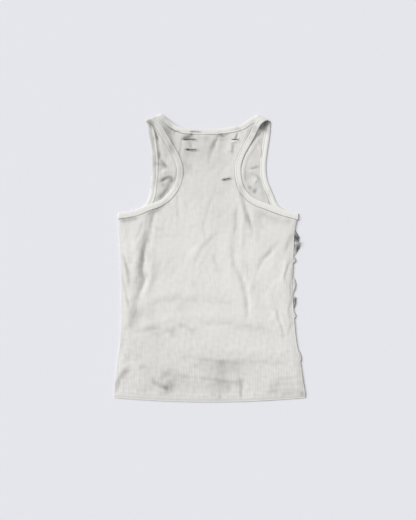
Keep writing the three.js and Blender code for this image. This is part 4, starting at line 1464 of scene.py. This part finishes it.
class ClothSettings(bpy.types.PropertyGroup):
    """Sizes and colours of the rib-knit panels."""

    rib_pitch: bpy.props.FloatProperty(
        name="Rib pitch", description="Distance from rib to rib", default=5.4 * MM, unit="LENGTH"
    )
    rib_height: bpy.props.FloatProperty(
        name="Rib height", description="How far a rib stands up", default=0.2 * MM, unit="LENGTH"
    )
    wall: bpy.props.FloatProperty(
        name="Cloth", description="Thickness of the knit", default=1.1 * MM, unit="LENGTH"
    )
    fold_strength: bpy.props.FloatProperty(
        name="Folds", description="Strength of the soft folds", default=1.0, subtype="FACTOR"
    )
    cloth: bpy.props.FloatVectorProperty(
        name="Cloth",
        description="Off-white of the ribs",
        default=(0.807, 0.797, 0.764),
        size=3,
        subtype="COLOR",
    )
    # darker than the cloth: painted shade between the ribs
    groove: bpy.props.FloatVectorProperty(
        name="Grooves",
        description="Shade between the ribs",
        default=(0.787, 0.777, 0.745),
        size=3,
        subtype="COLOR",
    )
    # darker than the cloth: painted shade of the front's inner face, which lies under the back
    inside: bpy.props.FloatVectorProperty(
        name="Inside",
        description="Inner face of the front",
        default=(0.744, 0.735, 0.7),
        size=3,
        subtype="COLOR",
    )


class BandSettings(bpy.types.PropertyGroup):
    """Sizes and colour of the bands that bind the neck and the armholes."""

    neck_width: bpy.props.FloatProperty(
        name="Neck band", description="Width of the neck band", default=11.5 * MM, unit="LENGTH"
    )
    arm_width: bpy.props.FloatProperty(
        name="Armhole band", description="Width of the armhole bands", default=12.6 * MM, unit="LENGTH"
    )
    color: bpy.props.FloatVectorProperty(
        name="Band",
        description="Off-white of the bands",
        default=(0.861, 0.853, 0.816),
        size=3,
        subtype="COLOR",
    )


class StitchSettings(bpy.types.PropertyGroup):
    """Sizes and colour of the sewing."""

    spacing: bpy.props.FloatProperty(
        name="Spacing", description="Distance from stitch to stitch", default=3.1 * MM, unit="LENGTH"
    )
    length: bpy.props.FloatProperty(
        name="Length", description="Length of one stitch", default=2.5 * MM, unit="LENGTH"
    )
    thread: bpy.props.FloatProperty(
        name="Thread", description="Thickness of the thread", default=0.5 * MM, unit="LENGTH"
    )
    color: bpy.props.FloatVectorProperty(
        name="Thread",
        description="Colour of the thread",
        default=(0.76, 0.755, 0.73),
        size=3,
        subtype="COLOR",
    )


class StageSettings(bpy.types.PropertyGroup):
    """The floor, the light and the camera."""

    floor: bpy.props.FloatVectorProperty(
        name="Floor",
        description="Colour of the plain floor",
        default=(0.803, 0.805, 0.843),
        size=3,
        subtype="COLOR",
    )
    distance: bpy.props.FloatProperty(
        name="Camera height", description="Height of the camera over the floor", default=2.52, unit="LENGTH"
    )
    key: bpy.props.FloatProperty(
        name="Key light", description="Strength of the large soft light from the left", default=2.79
    )
    sky: bpy.props.FloatProperty(
        name="Surroundings", description="Strength of the light from all round", default=0.42
    )


def settings():
    return bpy.context.scene.tank_top


class TankTopSettings(bpy.types.PropertyGroup):
    """All settings of the tank top."""

    panels: bpy.props.PointerProperty(type=ClothSettings)
    bands: bpy.props.PointerProperty(type=BandSettings)
    stitches: bpy.props.PointerProperty(type=StitchSettings)
    stage: bpy.props.PointerProperty(type=StageSettings)


def current_bands():
    sizes = settings().bands
    return make_bands(sizes.neck_width / MM, sizes.arm_width / MM)


def panel_area(obj, outward):
    """Flat area of a panel's face, in square metres."""
    normals = np.empty(len(obj.data.polygons) * 3)
    areas = np.empty(len(obj.data.polygons))
    obj.data.polygons.foreach_get("normal", normals)
    obj.data.polygons.foreach_get("area", areas)
    return float(np.sum(np.clip(normals[2::3] * outward, 0, 1) * areas))


def declare_panel(obj, node, outward):
    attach(obj, "root")
    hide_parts(node)
    panel_area(obj, outward)


def shoulder_turn(name, bands, side):
    """Cloth of the front where it turns over one strap, between the neck and armhole bands."""
    fold = FOLDS[side]
    ends = []
    neck_end = 0 if side == "left" else 1
    for edge, end in ((bands["neck"]["back"], neck_end), (bands[side]["back"], 0)):
        distance = edge.width - TURN_TUCK
        ends.append(edge.offset(np.array([edge.ends(distance)[end]]), distance)[0])
    line = ends[0] + (ends[1] - ends[0]) * np.linspace(0, 1, 29)[:, None]
    # a lip tucked under the back panel, the turn itself, and a lip over the front panel
    reach, top = TURN_RADIUS + WALL / 2, BACK_BAND_LEVEL + WALL / 2
    places = [(-SHOULDER_LIP - 4, top - 0.35), (-SHOULDER_LIP, top), (-1, top)]
    for angle in np.linspace(0, math.pi, 13):
        places.append((reach * math.sin(angle), TURN_LEVEL + reach * math.cos(angle)))
    places.append((-5, TURN_LEVEL - reach))
    rows = [
        np.column_stack([line + fold["outward"] * out, np.full(len(line), level)])
        for out, level in places
    ]
    points = np.vstack(rows)
    mesh = new_mesh(name, in_frame(points), grid_faces(points, len(line)))
    if mesh.polygons[2 * (len(line) - 1)].normal.z < 0:
        mesh.flip_normals()
    # a light painted shade over the whole turn, which tones down the light on its rounded top
    store_looks(mesh, points[:, 0], 0.6, 0.13)
    return new_object(name, mesh)


def loose_strip(name, rows, shade):
    """One cut strip: it leaves the side, bulges out and comes back, curled across its width."""
    curve = Curve(rows)
    steps = max(int(curve.length / 0.9), 12)
    share = np.linspace(0, 1, steps + 1)
    centre, heading = curve.at(share)
    knots = np.linspace(0, 1, len(rows["width"]))
    width = np.interp(share, knots, rows["width"])
    side = np.stack([heading[:, 1], -heading[:, 0]], 1)
    middle = smoothstep(share, 0.05, 0.3) * smoothstep(1 - share, 0.05, 0.3)
    lanes = np.linspace(-1, 1, 9)
    points, strip_shade = [], []
    for t in lanes:
        xy = centre + side * (t * width / 2)[:, None]
        curl = 0.9 * (1 - t * t) + 0.8 * t * np.sin(share * 9)
        points.append(np.column_stack([xy, np.maximum(0.9 + middle * (0.7 + curl), 0.85)]))
        # painted shadow of the curl, less deep on the lower half towards the side seam, and painted
        # shade along both edges
        paler = 0.35 * smoothstep(t, -0.3, 0.6) * smoothstep(share, 0.46, 0.56)
        streaky = 0.86 + 0.14 * np.sin(share * 21 + 2 * t)
        strip_shade.append(shade * (1 - paler) * middle * streaky + 0.16 * t**4)
    points = np.stack(points, 1).reshape(-1, 3)
    mesh = new_mesh(name, in_frame(points), grid_faces(points, len(lanes)))
    if np.mean([face.normal.z for face in mesh.polygons]) < 0:
        mesh.flip_normals()
    run = np.repeat(share * curve.length, len(lanes))
    store_looks(mesh, run, 0.5, np.clip(np.stack(strip_shade, 1).ravel(), 0, 0.93))
    return new_object(name, mesh)


def loose_thread(name, row, material, level):
    """A bowed end of a single thread, as a thin tube."""
    start, end = np.array([row["x0"], row["y0"]]), np.array([row["x1"], row["y1"]])
    across = np.array([start[1] - end[1], end[0] - start[0]])
    across /= np.linalg.norm(across)
    share = np.linspace(0, 1, 9)[:, None]
    line = start + (end - start) * share + across * row["bow"] * np.sin(share * math.pi * 1.3)
    heights = level + 1.2 * np.sin(share * math.pi * 0.8)
    data = line_curve(name, np.hstack([line, heights]))
    data.bevel_depth = THREAD_RADIUS * MM
    data.bevel_resolution = 1
    data.use_fill_caps = True
    data.materials.append(material)
    return settle(new_object(name, data))


class TANKTOP_OT_front_panel(bpy.types.Operator):
    """Make the front panel, which lies underneath with its ribs against the surface"""

    bl_idname = "tanktop.front_panel"
    bl_label = "Front Panel"

    def execute(self, context):
        cloth = settings().panels
        slash = FRONT_SLASH
        ys = np.linspace(slash["first"], slash["last"], slash["count"])
        slits = [
            {"x": slash["x"], "y": y, "length": slash["length"], "gape": slash["gape"], "turn": 0}
            for y in ys
        ]
        pitch, height = cloth.rib_pitch / MM, cloth.rib_height / MM
        zones = [(y - 2.5, y + 2.5) for y in ys] + [(400, 590)]
        parts = [
            make_panel(
                "front_cloth",
                "front",
                slits,
                lambda x, y: height + front_lift(x, y),
                panel_rows(6.0, 1.8, zones),
            )
        ]
        bands = current_bands()
        parts += [shoulder_turn("turn_" + side, bands, side) for side in ("left", "right")]
        parts += [loose_strip(f"strip_{i}", *row) for i, row in enumerate(LOOSE_STRIPS)]
        # the inner face is darker than the cloth and its grooves darker still: painted shade
        name, groove = "Inside of rib knit", [c * 0.93 for c in cloth.inside]
        material = cloth_material(name, cloth.inside, groove, "object", pitch, WALES, 0.3)
        for part in parts:
            ribbed(part, pitch, height, material, cloth.wall / MM)
        panel = joined("front_cloth", parts)
        declare_panel(panel, "front_panel", -1)
        return {"FINISHED"}


class TANKTOP_OT_back_panel(bpy.types.Operator):
    """Make the racerback panel with its ribs, folds, hem and slits"""

    bl_idname = "tanktop.back_panel"
    bl_label = "Back Panel"

    def execute(self, context):
        cloth = settings().panels
        slits = rows_of(BACK_SLITS)
        pitch, height = cloth.rib_pitch / MM, cloth.rib_height / MM
        zones = [(row["y"] - 3.5, row["y"] + 3.5) for row in slits] + [(-3, 19)]
        panel = make_panel(
            "back_cloth",
            "back",
            slits,
            lambda x, y: back_height(x, y, cloth.fold_strength),
            panel_rows(3.4, 1.0, zones),
        )
        name = "Rib knit"
        material = cloth_material(name, cloth.cloth, cloth.groove, "object", pitch, WALES, 0.4)
        ribbed(panel, pitch, height, material, cloth.wall / MM)
        declare_panel(panel, "back_panel", 1)
        return {"FINISHED"}


class TANKTOP_OT_bands(bpy.types.Operator):
    """Make the bands round the neck and the armholes, with their stitching"""

    bl_idname = "tanktop.bands"
    bl_label = "Bands"

    def execute(self, context):
        sizes, sewing = settings().bands, settings().stitches
        bands = current_bands()
        # darker grooves: painted shade between the band's ribs
        groove = [c * 0.84 for c in sizes.color]
        pitch, wales = BAND_RIB["pitch"], BAND_RIB["wales"]
        material = cloth_material("Rib band", sizes.color, groove, "strip", pitch, wales, 0.08)
        thread = plain_material("Sewing thread", sewing.color, 0.7)
        rows = []
        for key, node, folds in (
            ("neck", "neck_binding", (FOLDS["left"], FOLDS["right"])),
            ("left", "armhole_binding_left", (FOLDS["left"], UNDERARMS["left"])),
            ("right", "armhole_binding_right", (FOLDS["right"], UNDERARMS["right"])),
        ):
            name = node.replace("binding", "band")
            band, line = make_band(name, bands[key], folds, material)
            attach(band, "root")
            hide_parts(node)
            length = float(np.sum(np.linalg.norm(np.diff(line, axis=0), axis=1))) * MM
            rows.append(stitch_row(name + "_stitches", line, thread, True, sewing))
        stitches = joined("band_stitches", rows)
        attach(stitches, "root")
        return {"FINISHED"}


class TANKTOP_OT_threads(bpy.types.Operator):
    """Add the loose ends of thread at the slits and the cut strips"""

    bl_idname = "tanktop.threads"
    bl_label = "Loose Threads"

    def execute(self, context):
        material = plain_material("Loose thread", settings().stitches.color, 0.7)
        parts = []
        for i, row in enumerate(rows_of(LOOSE_THREADS)):
            level = STRIP_LEVEL if row["x0"] > 170 else SLIT_LEVEL
            parts.append(loose_thread(f"thread_{i}", row, material, level))
        threads = joined("loose_threads", parts)
        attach(threads, "root")
        return {"FINISHED"}


class TANKTOP_OT_hem_stitches(bpy.types.Operator):
    """Sew the turned hem with a row of stitches on the back"""

    bl_idname = "tanktop.hem_stitches"
    bl_label = "Hem Stitching"

    def execute(self, context):
        sewing, cloth = settings().stitches, settings().panels
        thread = plain_material("Hem thread", sewing.color, 0.7)
        ends = [float(side_x(side, 25.0)) for side in ("left", "right")]
        xs = np.linspace(ends[0] + 1, ends[1] - 1, 500)
        ys = hem_y(xs) + HEM_DEPTH - 1.5
        z = back_height(xs, ys, cloth.fold_strength) + 0.1
        row = stitch_row("hem_stitches", np.column_stack([xs, ys, z]), thread, False, sewing)
        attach(row, "root")
        return {"FINISHED"}


class TANKTOP_OT_stage(bpy.types.Operator):
    """Lay the floor, hang the lamp, light the surroundings and aim the camera straight down"""

    bl_idname = "tanktop.stage"
    bl_label = "Stage"

    # middle of the picture in the tables' millimetres, and where the lamp's light comes from
    MIDDLE = (-3.3, 291.1)
    KEY_FROM = (-0.66, 0.4, 0.64)
    FLOOR_HALF = 4.0
    FLOOR_DROP = 0.0003

    def execute(self, context):
        stage = settings().stage
        scene = context.scene
        signs = np.array([(-1, -1), (1, -1), (1, 1), (-1, 1)], float)
        corners = np.column_stack([signs * self.FLOOR_HALF, np.full(4, -self.FLOOR_DROP)])
        floor = new_object("floor", new_mesh("floor", corners, [(0, 1, 2, 3)]))
        floor.data.materials.append(plain_material("Pale floor", stage.floor, 0.9))

        middle = in_frame([[*self.MIDDLE, 0]])[0]
        camera = bpy.data.cameras.new("camera")
        camera.lens = 85
        camera.sensor_width = 36
        view = new_object("camera", camera)
        view.location = (middle[0], middle[1], stage.distance)
        scene.camera = view

        # a large soft lamp: its light falls from the left and a little from the neck's side
        sun = bpy.data.lights.new("key", "SUN")
        sun.energy = stage.key
        sun.angle = math.radians(45)
        lamp = new_object("key", sun)
        lamp.rotation_euler = Vector(self.KEY_FROM).to_track_quat("Z", "Y").to_euler()

        world = bpy.data.worlds.new("surroundings")
        world.use_nodes = True
        sky = world.node_tree.nodes["Background"]
        sky.inputs["Color"].default_value = (0.985, 0.99, 1, 1)
        sky.inputs["Strength"].default_value = stage.sky
        scene.world = world
        scene.view_settings.view_transform = "Standard"
        return {"FINISHED"}


STEPS = (
    TANKTOP_OT_stage,
    TANKTOP_OT_front_panel,
    TANKTOP_OT_back_panel,
    TANKTOP_OT_bands,
    TANKTOP_OT_hem_stitches,
    TANKTOP_OT_threads,
)


class TANKTOP_PT_sidebar(bpy.types.Panel):
    """Settings and steps of the tank top"""

    bl_idname = "TANKTOP_PT_sidebar"
    bl_label = "Tank Top"
    bl_space_type = "VIEW_3D"
    bl_region_type = "UI"
    bl_category = "Tank Top"

    def draw(self, context):
        layout = self.layout
        top = context.scene.tank_top
        for group in (top.panels, top.bands, top.stitches, top.stage):
            box = layout.box()
            for key in group.bl_rna.properties.keys():
                if key not in ("rna_type", "name"):
                    box.prop(group, key)
        for step in STEPS:
            layout.operator(step.bl_idname)


CLASSES = (
    ClothSettings,
    BandSettings,
    StitchSettings,
    StageSettings,
    TankTopSettings,
    *STEPS,
    TANKTOP_PT_sidebar,
)


def register():
    for made in CLASSES:
        bpy.utils.register_class(made)
    bpy.types.Scene.tank_top = bpy.props.PointerProperty(type=TankTopSettings)


def unregister():
    del bpy.types.Scene.tank_top
    for made in reversed(CLASSES):
        bpy.utils.unregister_class(made)


def main():
    register()
    bpy.ops.tanktop.stage()
    bpy.ops.tanktop.front_panel()
    bpy.ops.tanktop.back_panel()
    bpy.ops.tanktop.bands()
    bpy.ops.tanktop.hem_stitches()
    bpy.ops.tanktop.threads()


if __name__ == "__main__":
    main()
